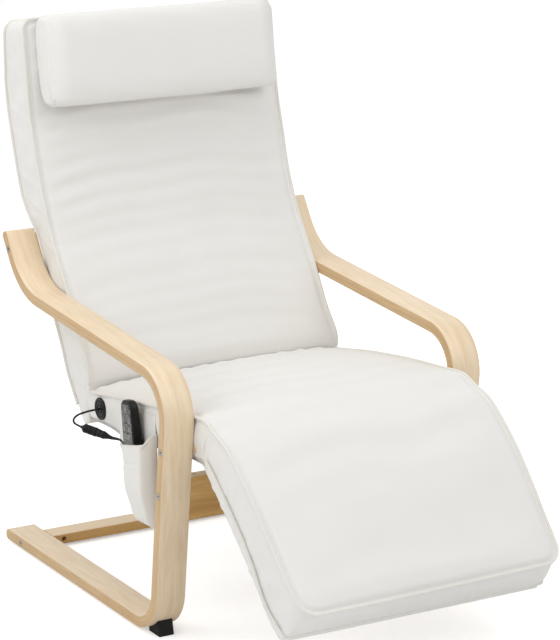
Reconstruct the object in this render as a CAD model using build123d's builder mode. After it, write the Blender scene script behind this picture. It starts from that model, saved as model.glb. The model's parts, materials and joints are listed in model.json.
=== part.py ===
from build123d import *
import math
import os

os.makedirs("parts", exist_ok=True)

# The chair faces -Y. Side profiles are drawn as (forward, height), forward being -Y.
# Lengths are in millimetres and angles in degrees.

# Bentwood side frames
overall_width = 670
band_width = 60
band_thickness = 21
band_edge_round = 1.5
band_end_round = 7
foot_height = 4
runner_back = 337.6
runner_front = 282.3
leg_length = 479.1
leg_lean = 6.3
arm_length = 585.6
arm_rise = 4.0
tail_length = 123.1
tail_rise = 56.6
toe_bend = 73.4
shoulder_bend = 79.6
elbow_bend = 138.8

# Boards between the side frames
floor_bar_back = 271
floor_bar_width = 46
floor_bar_thickness = 21
front_board_along = 256
front_board_height = 84
front_board_thickness = 20
tail_bar_from_tip = 36
tail_bar_width = 50
tail_bar_thickness = 21
board_edge_round = 3

# Seat, back and leg frames, inside the covers
seat_slope = 8.0
seat_bolt_along = 350.5
frame_thickness = 18
seat_rail_width = 30
pad_side_gap = 5
rest_gap = 1.0
lining_thickness = 2
pad_clearance = 0.5
seat_pad_thickness = 48
knee_reach = 34.35
back_upper_lean = 6.5
back_lower_length = 552
back_upper_length = 245
back_bend = 500
back_pad_thickness = 58
leg_slope = 41.0
leg_rest_length = 378
leg_pad_thickness = 86
leg_frame_drop = 10
leg_crown = 13
leg_end_crown_share = 0.2
leg_end_height_share = 0.93
recline_range = 15.0

# Stiles: the fixed pair is inside, the moving pairs outside, hinge plates between
fixed_stile_width = 24
moving_stile_width = 20
hinge_plate_thickness = 3
plate_gap = 0.6
stile_side_clearance = 2
hinge_pin_radius = 4
hinge_pin_bite = 12
pin_head_radius = 7
pin_running_clearance = 0.05
hinge_plate_radius = 13
hinge_plate_reach = 70
back_hinge_along = 22
knee_gap = 0.5
rail_width = 28
strap_width = 46
strap_thickness = 2
bottom_strip_along = 100
bottom_strip_width = 24
knee_rail_along = 95
frame_end_inset = 8

# Bolts and barrel nuts
bolt_radius = 3
bolt_length = 92
bolt_head_radius = 6
bolt_head_height = 3
bolt_clearance = 0.2
nut_radius = 5
nut_length = 15
nut_setback = 24

# Feet
toe_foot_width = 30
toe_foot_reach = 40
toe_foot_bevel = 7
toe_foot_climb = 29
rear_foot_length = 52
rear_foot_inset = 14

# Massage motors and control box
motor_radius = 31
motor_height = 23
motor_wall = 2
motor_clearance = 1
motor_boss_height = 7
motor_boss_radius = 6
motor_bore_depth = 6.5
motor_shaft_radius = 2
weight_radius = 20
weight_thickness = 7
weight_gap = 1.5
weight_hub_radius = 5
box_length = 96
box_width = 58
box_height = 24
box_wall = 2
inlet_width = 12
inlet_bore_radius = 3
inlet_length = 14
inlet_floor = 2
inlet_gap = 12

# Pocket for the handset, its places measured forward and up from the grommet
pocket_wall = 2
pocket_gap = 1.5
pocket_seam_height = 8
pocket_seam_depth = 8
pocket_seam_drop = 10
pocket_depth = 34
pocket_mouth_back = 83
pocket_mouth_front = 233
pocket_mouth_low = -53
pocket_mouth_high = -8
pocket_foot_back = 130
pocket_foot = -183
pocket_round = 9
drawn_seat_length = 426

# Handset
handset_width = 46
handset_thickness = 26
handset_length = 170
handset_wall = 2
handset_round = 7
handset_top_forward = 160
handset_top_height = 62
handset_tilt = 8.0
handset_pocket_gap = 1.5
board_thickness = 1.6
board_depth = 9.1
board_margin = 1
board_post_radius = 2
button_travel = 0.8
button_proud = 1.2
button_clearance = 0.2
button_flange = 1.0
button_flange_margin = 1.2
button_rest_gap = 0.3
button_stem_radius = 2
button_size = 9
timer_button_width = 24
power_button_radius = 5.5

# Grommet, leads and connectors
grommet_along = 33.3
grommet_up = 19.2
grommet_radius = 21.5
grommet_lip = 3
grommet_lip_width = 5
grommet_depth = 24
lead_diameter = 4
lead_clearance = 0.1
lead_run_share = 0.45
connector_radius = 8
plug_radius = 7
connector_share = 0.52
plug_nose_radius = 4
plug_nose_length = 8
plug_clearance = 0.2

# Pillow
pillow_side_inset = 24
pillow_height = 178
pillow_thickness = 78
pillow_tilt = 9.7
pillow_foot_drop = 165.6
pillow_foot_out = 64
body_gap = 0.3
patch_length = 120
patch_height = 40
patch_thickness = 1.5
hook_patch_thickness = 8

# Padded cover behind the back frame
cover_depth = 36
cover_top_share = 0.4
cover_foot_along = 6
cover_slot_clearance = 2.5

# Derived places
side_middle = (overall_width - band_width) / 2
side_inner = overall_width / 2 - band_width
pad_width = 2 * (side_inner - pad_side_gap)
pillow_width = pad_width - 2 * pillow_side_inset
runner_height = foot_height + band_thickness / 2
sides = (("right", -1), ("left", 1))


def heading(angle):
    """Unit direction in a side profile, at an angle above forward."""
    return Vector(math.cos(math.radians(angle)), math.sin(math.radians(angle)))


def meeting(point_a, angle_a, point_b, angle_b):
    """Where two lines of a side profile cross."""
    along, other = heading(angle_a), heading(angle_b)
    gap = point_b - point_a
    turn = along.X * other.Y - along.Y * other.X
    return point_a + along * ((gap.X * other.Y - gap.Y * other.X) / turn)


def swung(point, pivot, angle):
    """A side-profile point turned about a pivot, positive lifting the front."""
    arm = point - pivot
    return pivot + heading(angle) * arm.X + heading(angle + 90) * arm.Y


# Centre line of the bentwood band, from the runner's rear end to the tail's tip
runner_end = Vector(-runner_back, runner_height)
toe_corner = Vector(runner_front, runner_height)
leg_angle = 90 - leg_lean
arm_angle = 180 - arm_rise
tail_angle = 180 - tail_rise
shoulder_corner = toe_corner + heading(leg_angle) * leg_length
elbow_corner = shoulder_corner + heading(arm_angle) * arm_length
tail_tip = elbow_corner + heading(tail_angle) * tail_length

# The seat line is the top of the seat frame, the back line the front of the back frame
seat_bolt = toe_corner + heading(leg_angle) * seat_bolt_along
seat_line_start = seat_bolt + heading(seat_slope + 90) * (frame_thickness / 2)
back_angle = tail_angle
back_offset = tail_bar_thickness / 2 + rest_gap + lining_thickness + frame_thickness
back_line_start = tail_tip + heading(back_angle - 90) * back_offset
fold = meeting(seat_line_start, seat_slope, back_line_start, back_angle)
seat_rail_along = (seat_bolt - fold).dot(heading(seat_slope))
seat_length = seat_rail_along + knee_reach


def seat_at(along, up):
    """Side-profile point of the seat, measured from the fold."""
    return fold + heading(seat_slope) * along + heading(seat_slope + 90) * up


# The back runs straight, bends through an arc, and runs straight again
upper_angle = 90 + back_upper_lean
bend_turn = back_angle - upper_angle
bend_tangent = back_bend * math.tan(math.radians(bend_turn / 2))
bend_start = back_lower_length - bend_tangent
bend_end = bend_start + back_bend * math.radians(bend_turn)
back_length = bend_end + back_upper_length - bend_tangent
bend_centre = fold + heading(back_angle) * bend_start + heading(back_angle - 90) * back_bend


def back_slope(along):
    """Angle of the back line above forward."""
    turned = math.degrees((along - bend_start) / back_bend)
    return back_angle - min(max(turned, 0), bend_turn)


def tail_line_at(along, out):
    """Side-profile point of the back's lower line, carried on straight beside the tails."""
    return fold + heading(back_angle) * along + heading(back_angle - 90) * out


def back_at(along, out):
    """Side-profile point of the back, along its curved line and out to the front."""
    if along <= bend_start:
        return tail_line_at(along, out)
    angle = back_slope(along)
    beyond = max(along - bend_end, 0)
    base = bend_centre + heading(angle + 90) * (back_bend - out)
    return base + heading(angle) * beyond


# Knee hinge under the front of the seat, and back hinge just above the fold
knee = seat_at(seat_length, -frame_thickness)
nose_radius = seat_pad_thickness + frame_thickness
back_hinge = back_at(back_hinge_along, -frame_thickness / 2)


def leg_at(along, up):
    """Side-profile point of the leg rest, measured from the knee hinge."""
    return knee + heading(-leg_slope) * along + heading(90 - leg_slope) * up


leg_frame_top = frame_thickness - leg_frame_drop
leg_pad_top = leg_frame_top + leg_pad_thickness

# The origin is under the middle of the chair's footprint
cover_inner = -frame_thickness - pad_clearance
rear_reach = back_at(back_length, cover_inner - cover_depth * cover_top_share).X
front_reach = leg_at(leg_rest_length, leg_pad_top * leg_end_height_share + leg_crown * leg_end_crown_share).X
depth_middle = (rear_reach + front_reach) / 2

# Lateral places, inside to outside
moving_outer = pad_width / 2 - stile_side_clearance
moving_inner = moving_outer - moving_stile_width
moving_plate_inner = moving_inner - hinge_plate_thickness
fixed_plate_outer = moving_plate_inner - plate_gap
fixed_outer = fixed_plate_outer - hinge_plate_thickness
fixed_inner = fixed_outer - fixed_stile_width


def side_plane(across=0):
    """Upright plane for side profiles; its normal points to -X."""
    return Plane(origin=(across, depth_middle, 0), x_dir=(0, -1, 0), z_dir=(-1, 0, 0))


def placed(across, point):
    """Row-frame point of a side-profile point."""
    return Vector(across, depth_middle - point.X, point.Y)


def flat(*points):
    """Side-profile points as plain pairs, for a line drawn straight on a plane."""
    return [(point.X, point.Y) for point in points]


def spot_plane(across, point):
    """Side plane with its origin at a side-profile point."""
    return Plane(origin=placed(across, point), x_dir=(0, -1, 0), z_dir=(-1, 0, 0))


def tilted(across, point, angle):
    """Plane through a side-profile point, square to a side-profile direction."""
    facing = heading(angle)
    return Plane(origin=placed(across, point), x_dir=(1, 0, 0), z_dir=(0, -facing.X, facing.Y))


def extrude_across(outer, inner, mode=Mode.ADD):
    """Extrude the sketch on side_plane(outer) towards inner."""
    extrude(amount=outer - inner, mode=mode)


def bored(plane, radius, depth, both=False):
    """Cut a round hole, or a round pocket, from a plane."""
    with BuildSketch(plane) as circle:
        Circle(radius)
    extrude(circle.sketch, amount=depth, both=both, mode=Mode.SUBTRACT)


def draw_back_line(start, end, out):
    """Draw a stretch of the back line, curved where it crosses the bend."""
    stops = [start, *(stop for stop in (bend_start, bend_end) if start < stop < end), end]
    for near, far in zip(stops, stops[1:]):
        middle = (near + far) / 2
        if bend_start < middle < bend_end:
            ThreePointArc(back_at(near, out), back_at(middle, out), back_at(far, out))
        else:
            Line(back_at(near, out), back_at(far, out))


def band_outline(place, start, end, low, high):
    """Closed outline of a strip along a line, curved where it crosses the back's bend."""
    with BuildLine() as outline:
        if place is back_at:
            draw_back_line(start, end, low)
            Line(place(end, low), place(end, high))
            draw_back_line(start, end, high)
            Line(place(start, low), place(start, high))
        else:
            Polyline(
                place(start, low), place(end, low), place(end, high), place(start, high), close=True
            )
    make_face(outline.edges())


def bolt_places():
    """Name, side-profile point and barrel nut direction of each bolted joint."""
    return {
        "seat": (seat_bolt, seat_slope + 90),
        "board": (toe_corner + heading(leg_angle) * (front_board_along + nut_radius * 2), 180 - leg_lean),
        "floor": (Vector(-floor_bar_back, runner_height), 0),
        "tail": (tail_tip - heading(tail_angle) * tail_bar_from_tip, tail_angle - 90),
    }


bolts = bolt_places()
nut_across = side_inner - nut_setback


def cut_bolt_joint(name):
    """Bolt hole and barrel nut hole in both ends of a board or rail."""
    point, facing = bolts[name]
    depth = bolt_length - band_width + bolt_head_height
    for side, sign in sides:
        bored(spot_plane(sign * side_inner, point), bolt_radius + bolt_clearance, sign * depth)
        nut_floor = point - heading(facing) * (nut_length / 2 + bolt_clearance)
        bored(tilted(sign * nut_across, nut_floor, facing), nut_radius + bolt_clearance, tail_bar_width)


# Side frames: one laminated band each, bent to runner, leg, arm and tail
for side, sign in sides:
    with BuildPart() as side_frame:
        with BuildLine(side_plane(sign * side_middle)):
            FilletPolyline(
                flat(runner_end, toe_corner, shoulder_corner, elbow_corner, tail_tip),
                radius=[toe_bend, shoulder_bend, elbow_bend],
            )
        with BuildSketch(Plane(placed(sign * side_middle, runner_end), x_dir=(1, 0, 0), z_dir=(0, -1, 0))):
            Rectangle(band_width, band_thickness)
        sweep()
        for point in (runner_end, tail_tip):
            ends = side_frame.edges().filter_by(Axis.X)
            fillet(ends.sort_by_distance(placed(sign * side_middle, point))[:2], band_end_round)
        fillet(side_frame.faces().filter_by(Axis.X).edges(), band_edge_round)
        for point, facing in bolts.values():
            outside = spot_plane(sign * overall_width / 2, point)
            bored(outside, bolt_radius + bolt_clearance, sign * band_width)
            bored(outside, bolt_head_radius + bolt_clearance, sign * bolt_head_height)
    side_frame.part.label = f"side_frame_{side}"
    export_step(side_frame.part, f"parts/side_frame_{side}.step")

# Front board between the legs
with BuildPart() as front_crossboard:
    with BuildSketch(side_plane(side_inner)):
        with Locations(toe_corner + heading(leg_angle) * front_board_along):
            Rectangle(front_board_thickness, front_board_height, rotation=-leg_lean)
    extrude_across(side_inner, -side_inner)
    fillet(front_crossboard.edges().filter_by(Axis.X), board_edge_round)
    cut_bolt_joint("board")
front_crossboard.part.label = "front_crossboard"
export_step(front_crossboard.part, "parts/front_crossboard.step")

# Floor bar between the runners
with BuildPart() as rear_floor_crossbar:
    with BuildSketch(side_plane(side_inner)):
        with Locations(bolts["floor"][0]):
            Rectangle(floor_bar_width, floor_bar_thickness)
    extrude_across(side_inner, -side_inner)
    fillet(rear_floor_crossbar.edges().filter_by(Axis.X), board_edge_round)
    cut_bolt_joint("floor")
rear_floor_crossbar.part.label = "rear_floor_crossbar"
export_step(rear_floor_crossbar.part, "parts/rear_floor_crossbar.step")

# Upper bar between the tails, on which the back rests
with BuildPart() as upper_back_crossbar:
    with BuildSketch(side_plane(side_inner)):
        with Locations(bolts["tail"][0]):
            Rectangle(tail_bar_width, tail_bar_thickness, rotation=tail_angle)
    extrude_across(side_inner, -side_inner)
    fillet(upper_back_crossbar.edges().filter_by(Axis.X), board_edge_round)
    cut_bolt_joint("tail")
upper_back_crossbar.part.label = "upper_back_crossbar"
export_step(upper_back_crossbar.part, "parts/upper_back_crossbar.step")

# Bolts and barrel nuts, one pair for each joint and side
with BuildPart() as frame_bolts:
    for side, sign in sides:
        for point, facing in bolts.values():
            with BuildSketch(side_plane(sign * overall_width / 2)):
                with Locations(point):
                    Circle(bolt_head_radius)
            extrude(amount=sign * bolt_head_height)
            with BuildSketch(side_plane(sign * (overall_width / 2 - bolt_head_height))):
                with Locations(point):
                    Circle(bolt_radius)
            extrude(amount=sign * (bolt_length - bolt_head_height))
frame_bolts.part.label = "frame_bolts"
export_step(frame_bolts.part, "parts/frame_bolts.step")

with BuildPart() as barrel_nuts:
    for side, sign in sides:
        for point, facing in bolts.values():
            with BuildSketch(tilted(sign * nut_across, point, facing)):
                Circle(nut_radius)
            extrude(amount=nut_length / 2, both=True)
        for point, facing in bolts.values():
            with BuildSketch(side_plane(sign * side_inner)):
                with Locations(point):
                    Circle(bolt_radius + bolt_clearance / 2)
            extrude(amount=sign * nut_setback * 2, mode=Mode.SUBTRACT)
barrel_nuts.part.label = "barrel_nuts"
export_step(barrel_nuts.part, "parts/barrel_nuts.step")

# Rubber wedges under the front bends
toe_turn = leg_angle
toe_tangent = toe_bend * math.tan(math.radians(toe_turn / 2))
toe_centre = Vector(runner_front - toe_tangent, runner_height + toe_bend)
toe_outer = toe_bend + band_thickness / 2
wedge_end = math.degrees(math.acos((toe_centre.Y - toe_foot_climb) / toe_outer))
wedge_front = toe_centre + heading(wedge_end - 90) * toe_outer
wedge_back_forward = wedge_front.X + toe_foot_bevel - toe_foot_reach
wedge_start = math.degrees(math.asin((wedge_back_forward - toe_centre.X) / toe_outer))
wedge_back = toe_centre + heading(wedge_start - 90) * toe_outer
wedge_middle = toe_centre + heading((wedge_start + wedge_end) / 2 - 90) * toe_outer

with BuildPart() as toe_feet:
    for side, sign in sides:
        with BuildSketch(side_plane(sign * side_middle)):
            with BuildLine():
                ThreePointArc(wedge_back, wedge_middle, wedge_front)
                Polyline(
                    wedge_front,
                    Vector(wedge_front.X + toe_foot_bevel, 0),
                    Vector(wedge_back.X, 0),
                    wedge_back,
                )
            make_face()
        extrude(amount=toe_foot_width / 2, both=True)
toe_feet.part.label = "toe_feet"
export_step(toe_feet.part, "parts/toe_feet.step")

# Rubber pads under the rear ends of the runners
with BuildPart() as rear_feet:
    for side, sign in sides:
        rear_foot_middle = depth_middle + runner_back - rear_foot_inset - rear_foot_length / 2
        with BuildSketch(Plane.XY):
            with Locations((sign * side_middle, rear_foot_middle)):
                SlotOverall(rear_foot_length, toe_foot_width, rotation=90)
        extrude(amount=foot_height)
rear_feet.part.label = "rear_feet"
export_step(rear_feet.part, "parts/rear_feet.step")

# Seat rail bolted between the legs
with BuildPart() as front_seat_rail:
    with BuildSketch(side_plane(side_inner)):
        band_outline(
            seat_at, seat_rail_along - seat_rail_width / 2, seat_rail_along + seat_rail_width / 2,
            -frame_thickness, 0,
        )
    extrude_across(side_inner, -side_inner)
    fillet(front_seat_rail.edges().filter_by(Axis.X), board_edge_round)
    cut_bolt_joint("seat")
front_seat_rail.part.label = "front_seat_rail"
export_step(front_seat_rail.part, "parts/front_seat_rail.step")

# Fixed stiles: mitred strips from the seat rail to the fold and up to the upper bar
fixed_front = seat_rail_along - seat_rail_width / 2
fixed_back_rear = -(frame_thickness + lining_thickness + rest_gap)
fixed_back_front = fixed_back_rear + frame_thickness
tail_bar_along = (bolts["tail"][0] - fold).dot(heading(back_angle))
fixed_top = tail_bar_along + tail_bar_width / 2
with BuildPart() as fixed_stiles:
    for side, sign in sides:
        inner_corner = meeting(seat_at(0, 0), seat_slope, tail_line_at(0, fixed_back_front), back_angle)
        outer_corner = meeting(
            seat_at(0, -frame_thickness), seat_slope, tail_line_at(0, fixed_back_rear), back_angle
        )
        with BuildSketch(side_plane(sign * fixed_inner)):
            with BuildLine():
                Polyline(
                    seat_at(fixed_front, 0),
                    inner_corner,
                    tail_line_at(fixed_top, fixed_back_front),
                    tail_line_at(fixed_top, fixed_back_rear),
                    outer_corner,
                    seat_at(fixed_front, -frame_thickness),
                    close=True,
                )
            make_face()
        extrude(amount=-sign * fixed_stile_width)
        pin_hole = hinge_pin_radius + pin_running_clearance
        bored(spot_plane(sign * fixed_outer, back_hinge), pin_hole, sign * hinge_pin_bite)
fixed_stiles.part.label = "fixed_stiles"
export_step(fixed_stiles.part, "parts/fixed_stiles.step")

# Rear seat rail between the fixed stiles
rear_rail_along = rail_width
with BuildPart() as rear_seat_rail:
    with BuildSketch(side_plane(fixed_inner)):
        band_outline(
            seat_at, rear_rail_along - rail_width / 2, rear_rail_along + rail_width / 2,
            -frame_thickness, -strap_thickness,
        )
    extrude_across(fixed_inner, -fixed_inner)
rear_seat_rail.part.label = "rear_seat_rail"
export_step(rear_seat_rail.part, "parts/rear_seat_rail.step")


def straps(place, along_places, level, half_width):
    """Elastic straps stretched across a frame."""
    for along in along_places:
        start, end = along - strap_width / 2, along + strap_width / 2
        with BuildSketch(side_plane(half_width)) as strap:
            band_outline(place, start, end, level - strap_thickness, level)
        extrude(strap.sketch, amount=2 * half_width)


# Seat webbing between the fixed stiles
seat_strap_shares = (0.24, 0.44, 0.64, 0.84)
with BuildPart() as seat_webbing:
    straps(seat_at, [fixed_front * share for share in seat_strap_shares], 0, fixed_inner)
seat_webbing.part.label = "seat_webbing"
export_step(seat_webbing.part, "parts/seat_webbing.step")


def bowed(start, end, swell):
    """Arc between two points, standing out to the left of the way from start to end."""
    chord = end - start
    out = Vector(-chord.Y, chord.X).normalized()
    ThreePointArc(start, (start + end) * 0.5 + out * swell, end)


# Each pad is lofted across the chair through side profiles. A profile has the pad's
# quilted face as a row of shallow arcs, and swells towards the middle.
section_shares = (-1, -0.97, -0.55, 0, 0.55, 0.97, 1)
section_crown_shares = (0, 0, 0.8, 1, 0.8, 0, 0)
section_edge_shares = (1, 0, 0, 0, 0, 0, 1)
pad_edge_round = 7
quilt_swell = 1.6
side_draw = 5


def pad_sections():
    """Across place, crown share and edge inset of each profile of a pad."""
    for across, crown, edge in zip(section_shares, section_crown_shares, section_edge_shares):
        yield across * pad_width / 2, crown, edge * pad_edge_round


def loft_pad(profiles):
    """Smooth loft through a pad's inner profiles, with a bevelled end at each side."""
    loft(profiles[1:-1])
    loft(profiles[:2], ruled=True)
    loft(profiles[-2:], ruled=True)


def quilted(tops):
    """Shallow arcs through the face points of a pad profile, swelling to the left of the way."""
    for start, end in zip(tops, tops[1:]):
        bowed(start, end, quilt_swell)


def draw_in_sides(plane, half_length, depth):
    """Cut both sides of a pad to a shallow inward curve, deepest at the plane's origin."""
    for side, sign in sides:
        near = (sign * pad_width / 2, -half_length)
        far = (sign * pad_width / 2, half_length)
        with BuildSketch(plane) as sliver:
            with BuildLine():
                ThreePointArc(near, (sign * (pad_width / 2 - side_draw), 0), far)
                Polyline(
                    far,
                    (sign * (pad_width / 2 + side_draw), half_length),
                    (sign * (pad_width / 2 + side_draw), -half_length),
                    near,
                )
            make_face()
        extrude(sliver.sketch, amount=depth, both=True, mode=Mode.SUBTRACT)


def seat_plane(along, up, across=0):
    """Plane facing up through the seat pad, its y running rearward."""
    return tilted(across, seat_at(along, up), seat_slope + 90)


def back_plane(along, out, across=0):
    """Plane facing forward through the back pad, its y running upward."""
    return tilted(across, back_at(along, out), back_slope(along) - 90)


def leg_plane(along, up, across=0):
    """Plane facing up through the leg pad, its y running rearward."""
    return tilted(across, leg_at(along, up), 90 - leg_slope)


# Places of the motors, box and grommet in the foam
seat_motor_along = seat_length / 2
upper_motor_along = bend_end - motor_radius
lower_motor_along = bend_start / 2
leg_motor_along = leg_rest_length / 2
box_along = box_length / 2 + rail_width
box_across = -pad_width / 4
grommet_point = seat_at(grommet_along, grommet_up)
grommet_plane = spot_plane(-pad_width / 2, grommet_point)
grommet_inner = pad_width / 2 - grommet_depth
box_side = box_across - box_width / 2
motor_pocket = motor_radius + motor_clearance
side_stretch = seat_length / drawn_seat_length


def side_spot(forward, up):
    """Side-profile point beside the seat, from the grommet; it stretches with the seat."""
    return grommet_point + Vector(forward * side_stretch, up)


mouth_back = side_spot(pocket_mouth_back, pocket_mouth_low)
mouth_front = side_spot(pocket_mouth_front, pocket_mouth_high)
motor_planes = {
    "upper_back": back_plane(upper_motor_along, pad_clearance),
    "lower_back": back_plane(lower_motor_along, 0),
    "seat": seat_plane(seat_motor_along, 0),
    "leg": leg_plane(leg_motor_along, leg_frame_top),
}
seam_start = (mouth_back.X - fold.X) / math.cos(math.radians(seat_slope))
seam_end = (mouth_front.X - fold.X) / math.cos(math.radians(seat_slope))
seam_top = seat_pad_thickness - pocket_seam_drop
pocket_inner = pad_width / 2 + pocket_gap


def draw_seam():
    """Outline of the pocket's sewn edge, let into the side of the seat."""
    band_outline(seat_at, seam_start, seam_end, seam_top - pocket_seam_height, seam_top)


# Seat cushion, with its rounded nose over the knee hinge
seat_crown = 13
seat_quilt_shares = (0.02, 0.16, 0.31, 0.47, 0.64, 0.82, 1)
seat_crown_shares = (0.1, 0.7, 1, 1, 0.8, 0.35, 0)
with BuildPart() as seat_cushion:
    profiles = []
    for across, crown, inset in pad_sections():
        tops = []
        for along_share, crown_share in zip(seat_quilt_shares, seat_crown_shares):
            up = seat_pad_thickness - inset + seat_crown * crown * crown_share
            tops.append(seat_at(seat_length * along_share, up))
        nose = nose_radius - inset
        under = inset + pad_clearance
        nose_end = math.degrees(math.asin((frame_thickness + under) / nose))
        nose_foot = knee + heading(seat_slope + nose_end) * nose
        nose_middle = knee + heading(seat_slope + (90 + nose_end) / 2) * nose
        rear_foot = seat_at(seat_length * seat_quilt_shares[0], under)
        with BuildSketch(side_plane(across), mode=Mode.PRIVATE) as profile:
            with BuildLine():
                quilted(tops)
                ThreePointArc(tops[-1], nose_middle, nose_foot)
                Line(nose_foot, rear_foot)
                Line(rear_foot, tops[0])
            make_face()
        profiles.append(profile.sketch)
    loft_pad(profiles)
    draw_in_sides(seat_plane(seat_length / 2, 0), seat_length / 2, nose_radius)
    bored(motor_planes["seat"], motor_pocket, motor_height)
    with BuildSketch(seat_plane(box_along, 0, box_across)):
        Rectangle(box_width + 2 * pad_clearance, box_length + 2 * pad_clearance)
    extrude(amount=box_height, mode=Mode.SUBTRACT)
    with BuildSketch(side_plane(pocket_seam_depth - pad_width / 2)):
        draw_seam()
    extrude(amount=pocket_seam_depth, mode=Mode.SUBTRACT)
    bored(grommet_plane, grommet_radius - grommet_lip_width, -grommet_depth)
    lead_hole_end = -box_side - grommet_inner
    bored(spot_plane(-grommet_inner, grommet_point), lead_diameter / 2 + pad_clearance, lead_hole_end)
seat_cushion.part.label = "seat_cushion"
export_step(seat_cushion.part, "parts/seat_cushion.step")

# Leg cushion, hollowed to turn round the seat's nose
leg_end_swell = 2.5
leg_lip = 3
leg_quilt_shares = (0.095, 0.22, 0.36, 0.5, 0.64, 0.78, 0.9, 1)
leg_height_shares = (0.955, 1, 1, 1, 0.99, 0.97, 0.95, leg_end_height_share)
leg_crown_shares = (0.25, 0.7, 1, 1, 1, 0.9, 0.6, leg_end_crown_share)
hollow = nose_radius + knee_gap
with BuildPart() as leg_cushion:
    profiles = []
    for across, crown, inset in pad_sections():
        tops = [leg_at(0, hollow + leg_lip)]
        for along_share, height_share, crown_share in zip(
            leg_quilt_shares, leg_height_shares, leg_crown_shares
        ):
            up = leg_pad_top * height_share - inset + leg_crown * crown * crown_share
            tops.append(leg_at(leg_rest_length * along_share - inset, up))
        under = leg_frame_top + inset + pad_clearance
        turn = math.degrees(math.asin(under / hollow))
        hollow_start = knee + heading(90 - leg_slope) * hollow
        hollow_middle = knee + heading((90 + turn) / 2 - leg_slope) * hollow
        hollow_foot = knee + heading(turn - leg_slope) * hollow
        end_foot = leg_at(leg_rest_length - inset, under)
        with BuildSketch(side_plane(across), mode=Mode.PRIVATE) as profile:
            with BuildLine():
                quilted(tops)
                Line(tops[0], hollow_start)
                ThreePointArc(hollow_start, hollow_middle, hollow_foot)
                Line(hollow_foot, end_foot)
                bowed(tops[-1], end_foot, leg_end_swell * (1 + crown))
            make_face()
        profiles.append(profile.sketch)
    loft_pad(profiles)
    draw_in_sides(leg_plane(leg_rest_length / 2, 0), leg_rest_length / 2, leg_pad_top * 2)
    bored(motor_planes["leg"], motor_pocket, motor_height)
leg_cushion.part.label = "leg_cushion"
export_step(leg_cushion.part, "parts/leg_cushion.step")

# Back cushion: its foot is cut so that it clears the seat when the back comes forward
back_crown = 10
back_top_swell = 3
back_quilt_shares = (0.19, 0.31, 0.44, 0.56, 0.67, 0.77, 0.87, 0.95, 1.015)
back_thickness_shares = (0.64, 0.64, 0.66, 0.73, 0.87, 0.97, 0.92, 0.87, 0.81)
back_crown_shares = (0.7, 1, 1, 1, 0.8, 0.6, 0.4, 0.3, 0.1)
foot_gap = 2
foot_start = swung(seat_at(0, seat_pad_thickness + seat_crown * 0.3 + foot_gap), back_hinge, recline_range)
foot_angle = seat_slope + recline_range


def back_foot_at(out):
    """Point of the back pad's foot at a distance out from the back line."""
    return meeting(foot_start, foot_angle, back_at(0, out), back_angle)


def foot_along(foot):
    """How far along the back line a point of the pad's foot is."""
    return (foot - fold).dot(heading(back_angle))


# Pillow, measured from its rear lower corner, and its patches of hook and loop
def pillow_at(up, out):
    """Side-profile point of the pillow."""
    foot = back_at(back_length - pillow_foot_drop, pillow_foot_out)
    return foot + heading(90 + pillow_tilt) * up + heading(pillow_tilt) * out


def pillow_plane(across, up, out):
    """Plane facing forward through the pillow, its y running upward."""
    return tilted(across, pillow_at(up, out), pillow_tilt)


patch_places = (-pillow_width / 4, pillow_width / 4)
patch_up = pillow_height / 3

with BuildPart() as back_cushion:
    profiles = []
    for across, crown, inset in pad_sections():
        foot_out = back_pad_thickness * back_thickness_shares[0] - inset
        tops = [back_foot_at(foot_out)]
        for along_share, thickness_share, crown_share in zip(
            back_quilt_shares, back_thickness_shares, back_crown_shares
        ):
            out = back_pad_thickness * thickness_share - inset + back_crown * crown * crown_share
            tops.append(back_at(back_length * along_share - inset, out))
        under = inset + pad_clearance
        top_along = back_length * back_quilt_shares[-1] - inset
        foot = back_foot_at(under)
        with BuildSketch(side_plane(across), mode=Mode.PRIVATE) as profile:
            with BuildLine():
                quilted(tops[::-1])
                bowed(back_at(top_along, under), tops[-1], back_top_swell * (1 + crown))
                draw_back_line(foot_along(foot), top_along, under)
                Line(tops[0], foot)
            make_face()
        profiles.append(profile.sketch)
    loft_pad(profiles)
    draw_in_sides(back_plane(bend_start, 0), bend_start, back_pad_thickness * 2)
    for place in ("lower_back", "upper_back"):
        bored(motor_planes[place], motor_pocket, motor_height)
    for across in patch_places:
        with BuildSketch(pillow_plane(across, patch_up, -body_gap)):
            Rectangle(patch_length, patch_height)
        extrude(amount=-hook_patch_thickness, mode=Mode.SUBTRACT)
back_cushion.part.label = "back_cushion"
export_step(back_cushion.part, "parts/back_cushion.step")

# Padded cover behind the back frame, slotted round the fixed stiles below the upper bar
cover_pinch = -frame_thickness - lining_thickness
cover_split = fixed_top + rest_gap
cover_low_shares = (0.62, 0.96, 1, 0.78)
cover_low_along_shares = (0, 0.16, 0.32, 0.6)
cover_high_shares = (0.55, 0.6, 0.62, cover_top_share)
cover_high_along_shares = (0.12, 0.36, 0.68, 1)
cover_top_along = back_length


def cover_out(depth_share):
    """Distance out of the cover's rear face, negative behind the frame."""
    return cover_inner - cover_depth * depth_share


def draw_cover_foot():
    """Profile of the cover from its foot to the upper bar."""
    rise = cover_split - cover_foot_along
    rears = []
    for along_share, depth_share in zip(cover_low_along_shares, cover_low_shares):
        rears.append(back_at(cover_foot_along + rise * along_share, cover_out(depth_share)))
    with BuildLine() as outline:
        quilted(rears)
        Polyline(
            rears[-1],
            back_at(tail_bar_along - tail_bar_width / 2 - rest_gap, cover_pinch),
            back_at(cover_split, cover_pinch),
            back_at(cover_split, cover_inner),
        )
        draw_back_line(cover_foot_along, cover_split, cover_inner)
        Line(back_at(cover_foot_along, cover_inner), rears[0])
    make_face(outline.edges())


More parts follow.
